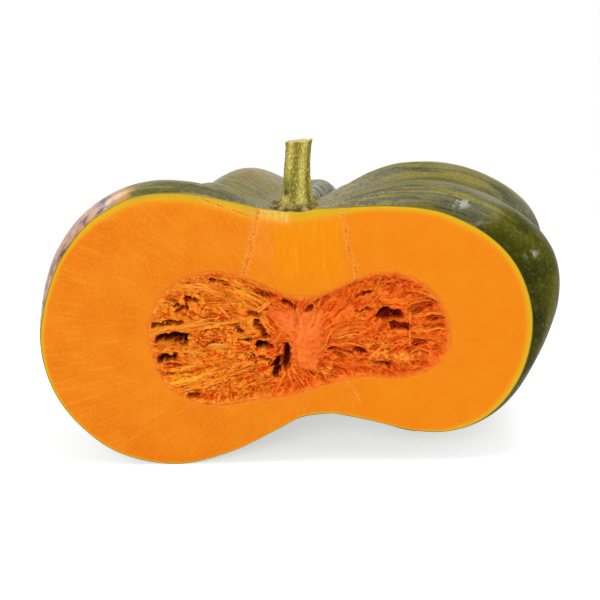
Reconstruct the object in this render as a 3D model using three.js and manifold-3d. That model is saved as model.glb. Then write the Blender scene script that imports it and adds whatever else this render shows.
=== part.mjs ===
// Half of a muscat pumpkin (Cucurbita moschata), cut from stem to blossom end, as a three.js scene graph.
// Millimetres, +Z up. The cut is the plane y = 0, the fruit lies behind it at y > 0 and stands on z = 0.
// Angles are in degrees round the fruit's upright axis: 0 is the cut's right edge, 90 the back and
// 180 the cut's left edge. A share of 0 along the skin is the stem and 1 is the blossom end.
import * as THREE from 'three';
import { mergeVertices } from 'three/addons/utils/BufferGeometryUtils.js';
import Module from 'manifold-3d';

const wasm = await Module();
wasm.setup();

// ---------------------------------------------------------------- driving dimensions

// The skin as the knife met it: x from the stem's axis and height, from the stem to the blossom end.
const SKIN_RIGHT = outline([0, 178], [30, 179], [60, 179], [88, 175], [112, 164], [131, 148], [143, 128],
  [149, 102], [146, 74], [135, 49], [118, 31], [97, 22], [72, 22], [46, 29], [32, 32.6], [16, 36]);
const SKIN_LEFT = outline([0, 178], [-20, 179], [-44, 185], [-74, 191], [-105, 189], [-134, 174],
  [-156, 149], [-170, 118], [-176, 88], [-171, 57], [-156, 31], [-130, 9], [-92, 0], [-55, 8], [-22, 24],
  [-4, 33.4], [16, 36]);
const SKIN_AXIS = { top: 0, bottom: 16 };

// The seed cavity, in the same way. It is two lobes with a waist at the fruit's core.
const CAVITY_RIGHT = outline([10, 118], [24, 124], [44, 132], [66, 132], [84, 120], [94, 101], [94, 82],
  [83, 67], [62, 61], [38, 62], [16, 58]);
const CAVITY_LEFT = outline([10, 118], [-10, 120], [-30, 130], [-54, 137], [-76, 133], [-94, 118],
  [-102, 96], [-99, 70], [-85, 50], [-60, 43], [-32, 47], [-8, 50], [16, 58]);
const CAVITY_AXIS = { top: 10, bottom: 16 };

// Ribs fill the space between furrows. The knife ran down the first furrow, so it is the deepest.
const FURROWS = [
  { angle: 0, depth: 27 },
  { angle: 22, depth: 8 },
  { angle: 42, depth: 14 },
  { angle: 81, depth: 23 },
  { angle: 95, depth: 9 },
  { angle: 129, depth: 12 },
  { angle: 151, depth: 25 },
  { angle: 187, depth: 16 },
];
const RIB_SWELL = [-5, 9, -11, -5, 9, -15, 0];
// A rib fades out towards the ends of the axis, inside these radii. Its depth goes outwards in the shares
// of `out`, below and above the middle, and up or down in the shares of `lift`.
const RIB = {
  fadeRadius: { upper: 75, lower: 115 },
  out: { lower: 0.46, upper: 1.33 },
  lift: { upper: 0.56, lowerAtCut: 0.15, lowerAtBack: 0.77 },
  furrowSoftness: 0.1,
};
// The skin's lower part ends and its upper part begins over these heights.
const MIDDLE = { low: 50, high: 150 };
const UNDERSIDE = { from: 60, to: 10, radius: 80 };
const STEPS_PER_RIB = 8;
const STEPS_DOWN_SKIN = 38;

// Above this share of the way down, the right side soon takes on the fuller shoulder of the left.
const SHOULDER_END = 0.6;
const SHOULDER_FULLNESS = 0.6;

// The shoulders sink behind the stem, and the belly drops at the back right, where the fruit rests.
const SHOULDER_SINK = { angle: 96, spread: 82, depth: 21 };
const BELLY_DROP = { angle: 57, spread: 39, depth: 13.5 };
const BELLY_RISE = { angle: 121, spread: 38, depth: 9 };

const GAP = 0.3;
const SEED_GAP = 0.35;

const STEM = { x: -1, y: 10, foot: 170, top: 220.5, lean: 3.5, radius: 8.2, sides: 40 };
const STEM_RIDGES = { count: 5, depth: 0.13, twist: 0.35 };
// The foot spreads in small frills round the height where it meets the skin.
const STEM_FRILL = { count: 9, depth: 0.05, level: 10, spread: 4 };
// The torn top slopes down from its high side, over the last part of the stem.
const STEM_TOP = { slope: 2, highSide: 0.6, from: 0.8 };
// Radius along the stem as a multiple of its radius, against height above the foot.
const STEM_PROFILE = [
  [0, 0.95], [6, 1.15], [8.5, 1.75], [10, 1.95], [12, 1.75], [16, 1.3], [22, 1.08], [30, 0.98], [40, 0.94],
  [46, 0.95], [50.5, 1.0],
];

// Hollows in the face of the pulp: centre, half width, half height and depth. A negative depth is a swelling.
const HOLLOWS = [
  { x: 60, z: 98, wide: 17, high: 11, deep: 30 },
  { x: 36, z: 110, wide: 13, high: 6, deep: 12 },
  { x: 84, z: 106, wide: 9, high: 13, deep: 9 },
  { x: -88, z: 86, wide: 9, high: 13, deep: 20 },
  { x: -80, z: 110, wide: 8, high: 7, deep: 14 },
  { x: -15, z: 74, wide: 4.5, high: 10, deep: 20 },
  { x: 0, z: 86, wide: 13, high: 20, deep: -3 },
  { x: 54, z: 76, wide: 18, high: 5, deep: -4 },
  { x: -50, z: 92, wide: 26, high: 16, deep: -2 },
];
const PULP_RECESS = 6.5;

// Seeds lie in the face of the pulp. roll turns the long way up from level, and nod tips the outer end
// out of the pulp.
const SEED = { length: 15, width: 8.6, thickness: 3 };
const SEEDS = [
  { x: -58, z: 83, roll: 8, nod: 8, flat: 38 },
  { x: -68, z: 110, roll: -12, nod: 4, flat: 70 },
  { x: -53, z: 108, roll: -38, nod: 30, flat: 60 },
  { x: -44, z: 70, roll: 22, nod: 26, flat: 50 },
  { x: -42, z: 119, roll: -42, nod: 24, flat: 62 },
  { x: -39, z: 84, roll: -4, nod: 18, flat: 30 },
  { x: -72, z: 97, roll: 10, nod: 12, flat: 45 },
  { x: -74, z: 72, roll: -8, nod: 12, flat: 55 },
  { x: -45, z: 56, roll: 34, nod: 6, flat: 78 },
  { x: -66, z: 58, roll: 14, nod: 16, flat: 50 },
  { x: -27, z: 64, roll: 40, nod: 8, flat: 75 },
  { x: 15, z: 67, roll: 62, nod: 6, flat: 82 },
  { x: 47, z: 77, roll: 50, nod: 18, flat: 60 },
  { x: 66, z: 75, roll: -20, nod: 16, flat: 66 },
];

const COLOURS = {
  rind: { color: 0x4c5620, roughness: 0.45, metalness: 0 },
  pulp: { color: 0xea6a1e, roughness: 0.5, metalness: 0 },
  seed: { color: 0xe9b544, roughness: 0.4, metalness: 0 },
  stem: { color: 0x8e8a3c, roughness: 0.8, metalness: 0 },
};

// ---------------------------------------------------------------- small helpers

function outline(...points) {
  return new THREE.SplineCurve(points.map(([x, z]) => new THREE.Vector2(x, z)));
}

function smooth(value) {
  const v = THREE.MathUtils.clamp(value, 0, 1);
  return v * v * (3 - 2 * v);
}

function bump(angle, { angle: centre, spread, depth }) {
  const away = Math.min(Math.abs(angle - centre) / spread, 1);
  return depth * Math.cos((Math.PI / 2) * away) ** 2;
}

function radians(degrees) {
  return THREE.MathUtils.degToRad(degrees);
}

// A closed geometry from corner positions and triangles of indices.
function closedGeometry(positions, triangles) {
  const geometry = new THREE.BufferGeometry();
  geometry.setAttribute('position', new THREE.Float32BufferAttribute(positions.flat(), 3));
  geometry.setIndex(triangles.flat());
  return geometry;
}

function toSolid(geometry) {
  geometry.deleteAttribute('normal');
  geometry.deleteAttribute('uv');
  const merged = mergeVertices(geometry, 1e-4);
  const mesh = new wasm.Mesh({
    numProp: 3,
    vertProperties: new Float32Array(merged.attributes.position.array),
    triVerts: new Uint32Array(merged.index.array),
  });
  return new wasm.Manifold(mesh);
}

function toGeometry(solid) {
  const mesh = solid.getMesh();
  const geometry = new THREE.BufferGeometry();
  geometry.setAttribute('position', new THREE.BufferAttribute(new Float32Array(mesh.vertProperties), 3));
  geometry.setIndex(new THREE.BufferAttribute(new Uint32Array(mesh.triVerts), 1));
  geometry.computeVertexNormals();
  return geometry;
}

function box(low, high) {
  const size = high.clone().sub(low);
  const geometry = new THREE.BoxGeometry(size.x, size.y, size.z);
  geometry.translate(low.x + size.x / 2, low.y + size.y / 2, low.z + size.z / 2);
  return toSolid(geometry);
}

// ---------------------------------------------------------------- half turns of surface

// Radius and height of a plain half turn, whose outline passes smoothly from the right one to the left one.
function plainPoint(form, angle, share) {
  const { right, left, axis } = form;
  const lean = THREE.MathUtils.lerp(axis.top, axis.bottom, smooth(share));
  const near = right.getPointAt(share);
  const far = left.getPointAt(share);
  const even = (1 - Math.cos(radians(angle))) / 2;
  const shoulder = form.shoulder * (1 - smooth((share - SHOULDER_END / 2) / (SHOULDER_END / 2)));
  const turned = THREE.MathUtils.lerp(even, Math.sin(radians(angle) / 2), shoulder);
  return {
    lean,
    radius: THREE.MathUtils.lerp(near.x - lean, lean - far.x, turned),
    height: THREE.MathUtils.lerp(near.y, far.y, turned),
  };
}

// The outward direction of a plain half turn in its own upright plane: out from the axis, and up.
function plainNormal(form, angle, share) {
  const step = 0.001;
  const before = plainPoint(form, angle, Math.max(share - step, 0));
  const after = plainPoint(form, angle, Math.min(share + step, 1));
  const across = after.radius - before.radius;
  const down = after.height - before.height;
  const length = Math.hypot(across, down);
  return { out: -down / length, up: across / length };
}

function placed(angle, lean, radius, height) {
  const turn = radians(angle);
  return [lean + radius * Math.cos(turn), Math.max(radius * Math.sin(turn), 0), height];
}

// How far the ribs bring the skin out at an angle, measured from the top of a rib, so it is mostly negative.
function ribOffset(angle) {
  const rib = Math.max(FURROWS.findIndex((furrow) => furrow.angle > angle) - 1, 0);
  const [from, to] = [FURROWS[rib], FURROWS[rib + 1]];
  const across = (angle - from.angle) / (to.angle - from.angle);
  const wave = Math.sin(Math.PI * across);
  const soft = RIB.furrowSoftness;
  const arch = (Math.hypot(Math.max(wave, 0) ** 0.75, soft) - soft) / (Math.hypot(1, soft) - soft);
  const depth = THREE.MathUtils.lerp(from.depth, to.depth, across);
  return -depth * (1 - arch) + RIB_SWELL[rib] * wave * wave;
}

const SKIN = { right: SKIN_RIGHT, left: SKIN_LEFT, axis: SKIN_AXIS, shoulder: SHOULDER_FULLNESS };
const CAVITY = { right: CAVITY_RIGHT, left: CAVITY_LEFT, axis: CAVITY_AXIS, shoulder: 0 };

// The ribbed skin. The ribs fade towards both ends and are measured from the cut's own outline.
function skinPoint(angle, share) {
  const { lean, radius, height } = plainPoint(SKIN, angle, share);
  const { out, up } = plainNormal(SKIN, angle, share);
  const atCut = THREE.MathUtils.lerp(ribOffset(0), ribOffset(180), angle / 180);
  const fade = smooth(radius / (up > 0 ? RIB.fadeRadius.upper : RIB.fadeRadius.lower));
  const rib = (ribOffset(angle) - atCut) * fade;
  const behind = smooth(Math.sin(radians(angle)) / Math.sin(radians(60)));
  const lowerLift = THREE.MathUtils.lerp(RIB.lift.lowerAtCut, RIB.lift.lowerAtBack, behind);
  const lift = up > 0 ? RIB.lift.upper : lowerLift;
  const upper = smooth((height - MIDDLE.low) / (MIDDLE.high - MIDDLE.low));
  const under = smooth((UNDERSIDE.from - height) / (UNDERSIDE.from - UNDERSIDE.to));
  const sink = bump(angle, SHOULDER_SINK) * smooth(radius / RIB.fadeRadius.upper) * upper;
  const shift = bump(angle, BELLY_RISE) - bump(angle, BELLY_DROP);
  const belly = shift * under * smooth(radius / UNDERSIDE.radius);
  const ribbedRadius = radius + out * rib * THREE.MathUtils.lerp(RIB.out.lower, RIB.out.upper, upper);
  const ribbedHeight = height + up * rib * lift - sink + belly;
  return placed(angle, lean, ribbedRadius, Math.max(ribbedHeight, 0));
}

// The smooth cavity wall, brought inwards by an inset.
function cavityPoint(angle, share, inset) {
  const { lean, radius, height } = plainPoint(CAVITY, angle, share);
  if (share === 0) return placed(0, lean, 0, height - inset);
  if (share === 1) return placed(0, lean, 0, height + inset);
  const { out, up } = plainNormal(CAVITY, angle, share);
  return placed(angle, lean, Math.max(radius - out * inset, 0), height - up * inset);
}

// A closed body from rows of points, one row for each angle, and a flat face between its first and last row.
function halfTurn(rows) {
  const across = rows[0].length;
  const triangles = [];
  for (let i = 0; i < rows.length - 1; i += 1) {
    for (let j = 0; j < across - 1; j += 1) {
      const corner = i * across + j;
      const next = corner + across;
      triangles.push([corner, corner + 1, next + 1], [corner, next + 1, next]);
    }
  }
  const last = (rows.length - 1) * across;
  const loop = [];
  for (let j = 0; j < across; j += 1) loop.push(j);
  for (let j = across - 2; j > 0; j -= 1) loop.push(last + j);
  const points = rows.flat();
  const contour = loop.map((index) => new THREE.Vector2(points[index][0], points[index][2]));
  for (const [a, b, c] of THREE.ShapeUtils.triangulateShape(contour, [])) {
    const [p, q, r] = [contour[a], contour[b], contour[c]];
    const turn = (q.x - p.x) * (r.y - p.y) - (q.y - p.y) * (r.x - p.x);
    triangles.push(turn > 0 ? [loop[a], loop[b], loop[c]] : [loop[a], loop[c], loop[b]]);
  }
  return closedGeometry(points, triangles);
}

function row(pointAt, angle, steps) {
  return Array.from({ length: steps + 1 }, (_, j) => pointAt(angle, j / steps));
}

function inFront(points, distance) {
  return points.map(([x, , z]) => [x, -distance, z]);
}

// ---------------------------------------------------------------- the fruit

function fruitBody() {
  const rows = [];
  for (let rib = 0; rib < RIB_SWELL.length; rib += 1) {
    const end = Math.min(FURROWS[rib + 1].angle, 180);
    for (let step = 0; step < STEPS_PER_RIB; step += 1) {
      const angle = THREE.MathUtils.lerp(FURROWS[rib].angle, end, step / STEPS_PER_RIB);
      rows.push(row(skinPoint, angle, STEPS_DOWN_SKIN));
    }
  }
  rows.push(row(skinPoint, 180, STEPS_DOWN_SKIN));
  return toSolid(halfTurn(rows));
}

// The cavity as a solid that also reaches out through the cut, so that cutting it away leaves it open.
function cavityBody(inset) {
  const turns = 20;
  const down = 24;
  const pointAt = (angle, share) => cavityPoint(angle, share, inset);
  const rows = Array.from({ length: turns + 1 }, (_, i) => row(pointAt, (180 * i) / turns, down));
  return toSolid(halfTurn([inFront(rows[0], 5), ...rows, inFront(rows[turns], 5)]));
}

function halfFruit() {
  const solid = fruitBody().subtract(cavityBody(0)).subtract(stemBody(GAP));
  return toGeometry(solid);
}

// ---------------------------------------------------------------- the stem

function stemRadius(above) {
  const next = Math.max(STEM_PROFILE.findIndex(([height]) => height >= above), 1);
  const [[low, from], [high, to]] = [STEM_PROFILE[next - 1], STEM_PROFILE[next]];
  return STEM.radius * THREE.MathUtils.lerp(from, to, smooth((above - low) / (high - low)));
}

// A ridged, leaning column with a flared corky foot and a slanting torn top. `grow` makes it larger all over.
function stemBody(grow) {
  const levels = STEM_PROFILE.map(([height]) => height);
  const tall = STEM.top - STEM.foot;
  const points = [];
  for (const level of levels) {
    const share = level / tall;
    for (let side = 0; side < STEM.sides; side += 1) {
      const turn = (2 * Math.PI * side) / STEM.sides;
      const ridge = Math.cos(STEM_RIDGES.count * (turn - STEM_RIDGES.twist * share)) * STEM_RIDGES.depth;
      const frillShare = Math.exp(-(((level - STEM_FRILL.level) / STEM_FRILL.spread) ** 2));
      const frill = Math.cos(STEM_FRILL.count * turn + 1) * STEM_FRILL.depth * frillShare;
      const radius = stemRadius(level) * (1 + ridge * smooth(share * 3) + frill) + grow;
      const nearTop = smooth((share - STEM_TOP.from) / (1 - STEM_TOP.from));
      const slant = STEM_TOP.slope * Math.cos(turn - STEM_TOP.highSide) * nearTop;
      points.push([
        STEM.x + STEM.lean * share * share + radius * Math.cos(turn),
        STEM.y + radius * Math.sin(turn),
        STEM.foot + level + slant + (level === 0 ? -grow : 0),
      ]);
    }
  }
  const triangles = [];
  for (let level = 0; level < levels.length - 1; level += 1) {
    for (let side = 0; side < STEM.sides; side += 1) {
      const a = level * STEM.sides + side;
      const b = level * STEM.sides + ((side + 1) % STEM.sides);
      triangles.push([a, b, b + STEM.sides], [a, b + STEM.sides, a + STEM.sides]);
    }
  }
  const bottom = points.length;
  points.push([STEM.x, STEM.y, STEM.foot - grow]);
  points.push([STEM.x + STEM.lean, STEM.y, STEM.top]);
  const rim = (levels.length - 1) * STEM.sides;
  for (let side = 0; side < STEM.sides; side += 1) {
    const other = (side + 1) % STEM.sides;
    triangles.push([bottom, other, side], [bottom + 1, rim + side, rim + other]);
  }
  return toSolid(closedGeometry(points, triangles));
}

// The knife went through the foot of the stem, so nothing of it is left in front of the cut.
function stem() {
  const cutAway = box(new THREE.Vector3(-60, -60, 100), new THREE.Vector3(60, 0, 300));
  return toGeometry(stemBody(0).subtract(cutAway));
}

// ---------------------------------------------------------------- the pulp and its seeds

// How far the face of the pulp lies behind the cut.
function pulpDepth(x, z) {
  let depth = PULP_RECESS;
  for (const { x: cx, z: cz, wide, high, deep } of HOLLOWS) {
    depth += deep * Math.exp(-(((x - cx) / wide) ** 2) - ((z - cz) / high) ** 2);
  }
  return Math.max(depth, 1.5);
}

// A block that fills everything behind the face of the pulp.
function behindPulpFace() {
  const [left, right, low, high, back] = [-112, 104, 34, 146, 130];
  const columns = 40;
  const levels = 20;
  const points = [];
  for (let i = 0; i <= columns; i += 1) {
    for (let j = 0; j <= levels; j += 1) {
      const x = THREE.MathUtils.lerp(left, right, i / columns);
      const z = THREE.MathUtils.lerp(low, high, j / levels);
      points.push([x, pulpDepth(x, z), z]);
    }
  }
  const front = points.length;
  points.push(...points.map(([x, , z]) => [x, back, z]));
  const triangles = [];
  const side = levels + 1;
  const quad = (a, b, c, d) => triangles.push([a, b, c], [a, c, d]);
  for (let i = 0; i < columns; i += 1) {
    for (let j = 0; j < levels; j += 1) {
      const a = i * side + j;
      quad(a, a + side, a + side + 1, a + 1);
      quad(front + a, front + a + 1, front + a + side + 1, front + a + side);
    }
    const [base, top] = [i * side, i * side + levels];
    quad(base, front + base, front + base + side, base + side);
    quad(top, top + side, front + top + side, front + top);
  }
  for (let j = 0; j < levels; j += 1) {
    const far = columns * side + j;
    quad(j, j + 1, front + j + 1, front + j);
    quad(far, front + far, front + far + 1, far + 1);
  }
  return toSolid(closedGeometry(points, triangles));
}

// A flat almond: broad and round at one end and drawn out to a point at the other.
function seedGeometry(grow) {
  const geometry = new THREE.SphereGeometry(1, 10, 6);
  geometry.rotateZ(-Math.PI / 2);
  const position = geometry.attributes.position;
  for (let i = 0; i < position.count; i += 1) {
    const along = position.getX(i);
    const taper = 1 - 0.3 * along - 0.12 * along * along;
    position.setXYZ(
      i,
      along * (SEED.length / 2 + grow),
      position.getY(i) * taper * (SEED.thickness / 2 + grow),
      position.getZ(i) * taper * (SEED.width / 2 + grow),
    );
  }
  return geometry;
}

// Turns and places a mesh of a seed. It lies half sunk in the face of the pulp.
function placeSeed(object, { x, z, roll, nod, flat }) {
  object.position.set(x, pulpDepth(x, z) + 0.2, z);
  object.rotation.order = 'YZX';
  object.rotation.set(radians(flat), radians(-roll), radians(-nod));
  object.updateMatrixWorld(true);
  return object;
}

function pulp() {
  let solid = cavityBody(GAP + 0.1).intersect(behindPulpFace());
  for (const seed of SEEDS) {
    const pocket = seedGeometry(SEED_GAP);
    pocket.applyMatrix4(placeSeed(new THREE.Object3D(), seed).matrixWorld);
    solid = solid.subtract(toSolid(pocket));
  }
  return toGeometry(solid);
}

// ---------------------------------------------------------------- the scene graph

function material(name) {
  return new THREE.MeshStandardMaterial(COLOURS[name]);
}

function part(name, geometry, look) {
  const mesh = new THREE.Mesh(geometry, material(look));
  mesh.name = name;
  return mesh;
}

const pumpkin = new THREE.Group();
pumpkin.name = 'muscat_pumpkin';
pumpkin.add(part('half_fruit', halfFruit(), 'rind'));
pumpkin.add(part('stem', stem(), 'stem'));
pumpkin.add(part('pulp', pulp(), 'pulp'));
SEEDS.forEach((seed, index) => {
  const name = `seed_${String(index + 1).padStart(2, '0')}`;
  pumpkin.add(placeSeed(part(name, seedGeometry(0), 'seed'), seed));
});

// The origin is under the middle of the whole object, on the surface that it rests on.
const extent = new THREE.Box3().setFromObject(pumpkin, true);
const middle = extent.getCenter(new THREE.Vector3());
pumpkin.position.set(-middle.x, -middle.y, -extent.min.z);

export default pumpkin;
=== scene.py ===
"""Looks of a muscat pumpkin cut in half: waxy ribbed rind, moist cut flesh, stringy pulp, seeds and stem.

Shapes are worked out in millimetres in the fruit's own frame: the cut is the plane y = 0 with the fruit
behind it at y > 0, the stem's axis is x = 0, and the fruit stands on z = 0. Angles go round the fruit in
degrees: 0 is the cut's right edge, 90 the back and 180 the cut's left edge. A share of 0 along the skin
is the stem and 1 is the blossom end.
"""
import math

import bpy
import numpy as np
from mathutils import Matrix, Vector


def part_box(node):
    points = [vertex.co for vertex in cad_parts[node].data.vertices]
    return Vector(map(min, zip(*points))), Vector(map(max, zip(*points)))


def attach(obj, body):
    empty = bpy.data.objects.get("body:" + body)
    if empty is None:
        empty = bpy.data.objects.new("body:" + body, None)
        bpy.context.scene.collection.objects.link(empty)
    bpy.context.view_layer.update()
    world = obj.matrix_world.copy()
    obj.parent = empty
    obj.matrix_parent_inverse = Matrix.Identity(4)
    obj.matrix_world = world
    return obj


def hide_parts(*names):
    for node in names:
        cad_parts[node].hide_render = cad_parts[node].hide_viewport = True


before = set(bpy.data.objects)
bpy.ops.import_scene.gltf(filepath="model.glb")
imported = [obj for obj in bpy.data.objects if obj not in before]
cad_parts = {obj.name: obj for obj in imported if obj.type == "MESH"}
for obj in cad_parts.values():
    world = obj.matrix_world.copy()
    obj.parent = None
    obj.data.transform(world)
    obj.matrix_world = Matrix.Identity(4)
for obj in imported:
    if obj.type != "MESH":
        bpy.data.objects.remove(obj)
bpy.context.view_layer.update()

MM = 0.001
SEED = 966

# ---------------------------------------------------------------- the fruit's dimensions

SKIN_RIGHT = [(0, 178), (30, 179), (60, 179), (88, 175), (112, 164), (131, 148), (143, 128), (149, 102),
              (146, 74), (135, 49), (118, 31), (97, 22), (72, 22), (46, 29), (32, 32.6), (16, 36)]
SKIN_LEFT = [(0, 178), (-20, 179), (-44, 185), (-74, 191), (-105, 189), (-134, 174), (-156, 149),
             (-170, 118), (-176, 88), (-171, 57), (-156, 31), (-130, 9), (-92, 0), (-55, 8), (-22, 24),
             (-4, 33.4), (16, 36)]
CAVITY_RIGHT = [(10, 118), (24, 124), (44, 132), (66, 132), (84, 120), (94, 101), (94, 82), (83, 67),
                (62, 61), (38, 62), (16, 58)]
CAVITY_LEFT = [(10, 118), (-10, 120), (-30, 130), (-54, 137), (-76, 133), (-94, 118), (-102, 96),
               (-99, 70), (-85, 50), (-60, 43), (-32, 47), (-8, 50), (16, 58)]
# Each half turn: its right and left outline, where its axis is at the stem and at the blossom end, and how
# much the left shoulder's shape reaches round towards the right one, down to SHOULDER_END along the skin.
SKIN = (SKIN_RIGHT, SKIN_LEFT, (0, 16), 0.6)
CAVITY = (CAVITY_RIGHT, CAVITY_LEFT, (10, 16), 0.0)
SHOULDER_END = 0.6

# Furrow angles and depths, and how much each rib between them stands out or in.
FURROWS = np.array([(0, 27), (22, 8), (42, 14), (81, 23), (95, 9), (129, 12), (151, 25), (187, 16)], float)
RIB_SWELL = np.array([-5, 9, -11, -5, 9, -15, 0], float)
FURROW_SOFTNESS = 0.1
# How much of a rib's depth goes outwards, below and above the fruit's middle, and how much goes up or down.
RIB_OUT_LOWER, RIB_OUT_UPPER = 0.46, 1.33
RIB_UP_UPPER, RIB_UP_AT_CUT, RIB_UP_AT_BACK = 0.56, 0.15, 0.77
# Ribs fade out towards the axis inside these radii, on the upper and on the lower skin.
RIB_FADE_UPPER, RIB_FADE_LOWER = 75, 115
# Heights over which the ribs go from their lower to their upper form, and over which the belly sets in.
MIDDLE = (50, 150)
UNDERSIDE = (60, 10)
UNDERSIDE_RADIUS = 80
# Angle, spread and depth: where the shoulders are sunk at the back, and where the belly drops and rises.
SHOULDER_SINK = (96, 82, 21)
BELLY_DROP = (57, 39, 13.5)
BELLY_RISE = (121, 38, 9)
DENT_DEPTH, DENT_SIZE = 1.1, 26

# ---------------------------------------------------------------- small helpers


def smooth(value, low=0.0, high=1.0):
    """0 up to low, 1 from high on, and a soft step between them."""
    v = np.clip((value - low) / (high - low), 0, 1)
    return v * v * (3 - 2 * v)


def lerp(a, b, share):
    return a + (b - a) * share


def hill(value, centre, spread):
    """A smooth hill of height 1 that ends a spread away from its centre."""
    return np.cos(np.pi / 2 * np.clip(np.abs(value - centre) / spread, 0, 1)) ** 2


def bump(angle, form):
    centre, spread, depth = form
    return depth * hill(angle, centre, spread)


def spot(x, z, place, power=2):
    """1 at a place in the cut, fading out over its half width and half height."""
    cx, cz, wide, high = place
    return np.exp(-((x - cx) / wide) ** power - ((z - cz) / high) ** power)


def lattice(ix, iy, iz, seed):
    """A fixed pseudo-random number from -1 to 1 for each corner of a lattice."""
    h = ix * 374761393 + iy * 668265263 + iz * 1440662683 + seed * 1013904223
    h = (h ^ (h >> 13)) * 1274126177 & 0x7FFFFFFF
    h = (h ^ (h >> 15)) * 2246822519 & 0x7FFFFFFF
    return ((h ^ (h >> 12)) & 0xFFFFF) / 524288.0 - 1.0


def noise(x, y, z=0.0, seed=0):
    """Smooth noise from -1 to 1."""
    x, y, z = np.broadcast_arrays(x, y, np.asarray(z, float))
    corner = [np.floor(v).astype(np.int64) for v in (x, y, z)]
    fx, fy, fz = (smooth(v - c) for v, c in zip((x, y, z), corner))
    total = 0.0
    for dx, dy, dz in np.ndindex(2, 2, 2):
        weight = np.abs(1 - dx - fx) * np.abs(1 - dy - fy) * np.abs(1 - dz - fz)
        total = total + weight * lattice(corner[0] + dx, corner[1] + dy, corner[2] + dz, seed)
    return total


def rough_noise(x, y, z=0.0, seed=0, octaves=3):
    """Noise with finer noise on it."""
    total, size = 0.0, 0.0
    for octave in range(octaves):
        scale = 2.03 ** octave
        total = total + noise(x * scale, y * scale, np.asarray(z) * scale, seed + octave) / scale
        size += 1 / scale
    return total / size


def spline(points, shares):
    """A Catmull-Rom curve through the points, at even shares of its length."""
    knots = np.asarray(points, float)
    last = len(knots) - 1

    def at(t):
        place = np.clip(t, 0, 1) * last
        i = np.minimum(place.astype(int), last - 1)
        w = (place - i)[:, None]
        before, a, b, after = (knots[np.clip(i + k, 0, last)] for k in (-1, 0, 1, 2))
        start, end = (b - before) / 2, (after - a) / 2
        cubic, square = 2 * a - 2 * b + start + end, 3 * b - 3 * a - 2 * start - end
        return cubic * w ** 3 + square * w ** 2 + start * w + a

    fine = np.linspace(0, 1, 2001)
    steps = np.linalg.norm(np.diff(at(fine), axis=0), axis=1)
    length = np.concatenate([[0], np.cumsum(steps)])
    return at(np.interp(np.asarray(shares) * length[-1], length, fine))


# ---------------------------------------------------------------- half turns of surface


def plain_turn(form, angles, shares):
    """Lean, radius and height of a half turn, on a grid of angles by shares."""
    right, left, axis, shoulder_fullness = form
    near, far = spline(right, shares), spline(left, shares)
    lean = lerp(*axis, smooth(shares))
    turn = np.radians(angles)[:, None]
    even = (1 - np.cos(turn)) / 2
    fullness = shoulder_fullness * (1 - smooth(shares, SHOULDER_END / 2, SHOULDER_END))
    turned = lerp(even, np.sin(turn / 2), fullness)
    radius = lerp(near[:, 0] - lean, lean - far[:, 0], turned)
    height = lerp(near[:, 1], far[:, 1], turned)
    return np.broadcast_to(lean, radius.shape), radius, height


def turn_normal(form, angles, shares):
    """Outward direction of a half turn in its upright plane: out from the axis, and up."""
    step = 0.001
    _, r0, h0 = plain_turn(form, angles, np.maximum(shares - step, 0))
    _, r1, h1 = plain_turn(form, angles, np.minimum(shares + step, 1))
    length = np.hypot(r1 - r0, h1 - h0) + 1e-9
    return -(h1 - h0) / length, (r1 - r0) / length


def rib_place(angles):
    """Which rib each angle is on, and how far across it, from 0 to 1."""
    rib = np.clip(np.searchsorted(FURROWS[:, 0], angles, side="right") - 1, 0, len(RIB_SWELL) - 1)
    return rib, (angles - FURROWS[rib, 0]) / (FURROWS[rib + 1, 0] - FURROWS[rib, 0])


def rib_offset(angles):
    """How far the ribs stand out of the plain turn at each angle."""
    rib, across = rib_place(angles)
    wave = np.clip(np.sin(np.pi * across), 0, 1)
    arch = np.hypot(wave ** 0.75, FURROW_SOFTNESS) - FURROW_SOFTNESS
    arch = arch / (math.hypot(1, FURROW_SOFTNESS) - FURROW_SOFTNESS)
    depth = lerp(FURROWS[rib, 1], FURROWS[rib + 1, 1], across)
    return -depth * (1 - arch) + RIB_SWELL[rib] * wave ** 2


def around_axis(angles, lean, radius, height):
    turn = np.radians(angles)[:, None]
    return np.stack([lean + radius * np.cos(turn), np.maximum(radius * np.sin(turn), 0), height], axis=-1)


def skin_surface(angles, shares):
    """The ribbed skin as in the part, with shallow dents added."""
    lean, radius, height = plain_turn(SKIN, angles, shares)
    out, up = turn_normal(SKIN, angles, shares)
    at_right, at_left = rib_offset([0.0, 180.0])
    ribs = (rib_offset(angles) - lerp(at_right, at_left, angles / 180))[:, None]
    ribs = ribs * smooth(radius / np.where(up > 0, RIB_FADE_UPPER, RIB_FADE_LOWER))
    degrees = angles[:, None]
    turn = np.radians(degrees)
    behind = smooth(np.sin(turn) / math.sin(math.radians(60)))
    lift = np.where(up > 0, RIB_UP_UPPER, lerp(RIB_UP_AT_CUT, RIB_UP_AT_BACK, behind))
    upper = smooth(height, *MIDDLE)
    under = smooth(height, *UNDERSIDE) * smooth(radius / UNDERSIDE_RADIUS)
    sink = bump(degrees, SHOULDER_SINK) * smooth(radius / RIB_FADE_UPPER) * upper
    belly = (bump(degrees, BELLY_RISE) - bump(degrees, BELLY_DROP)) * under
    new_radius = radius + out * ribs * lerp(RIB_OUT_LOWER, RIB_OUT_UPPER, upper)
    points = around_axis(angles, lean, new_radius, height + up * ribs * lift - sink + belly)
    away_from_cut = hill(degrees, 90, 90) ** 0.25 * smooth(radius / 40)
    dented = 0.5 + 0.5 * rough_noise(*np.moveaxis(points / DENT_SIZE, -1, 0), seed=3)
    outward = np.stack([out * np.cos(turn), out * np.sin(turn), up], axis=-1)
    points = points - (DENT_DEPTH * away_from_cut * dented)[..., None] * outward
    points[..., 1:] = np.maximum(points[..., 1:], 0)
    return points


# ---------------------------------------------------------------- meshes


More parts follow.
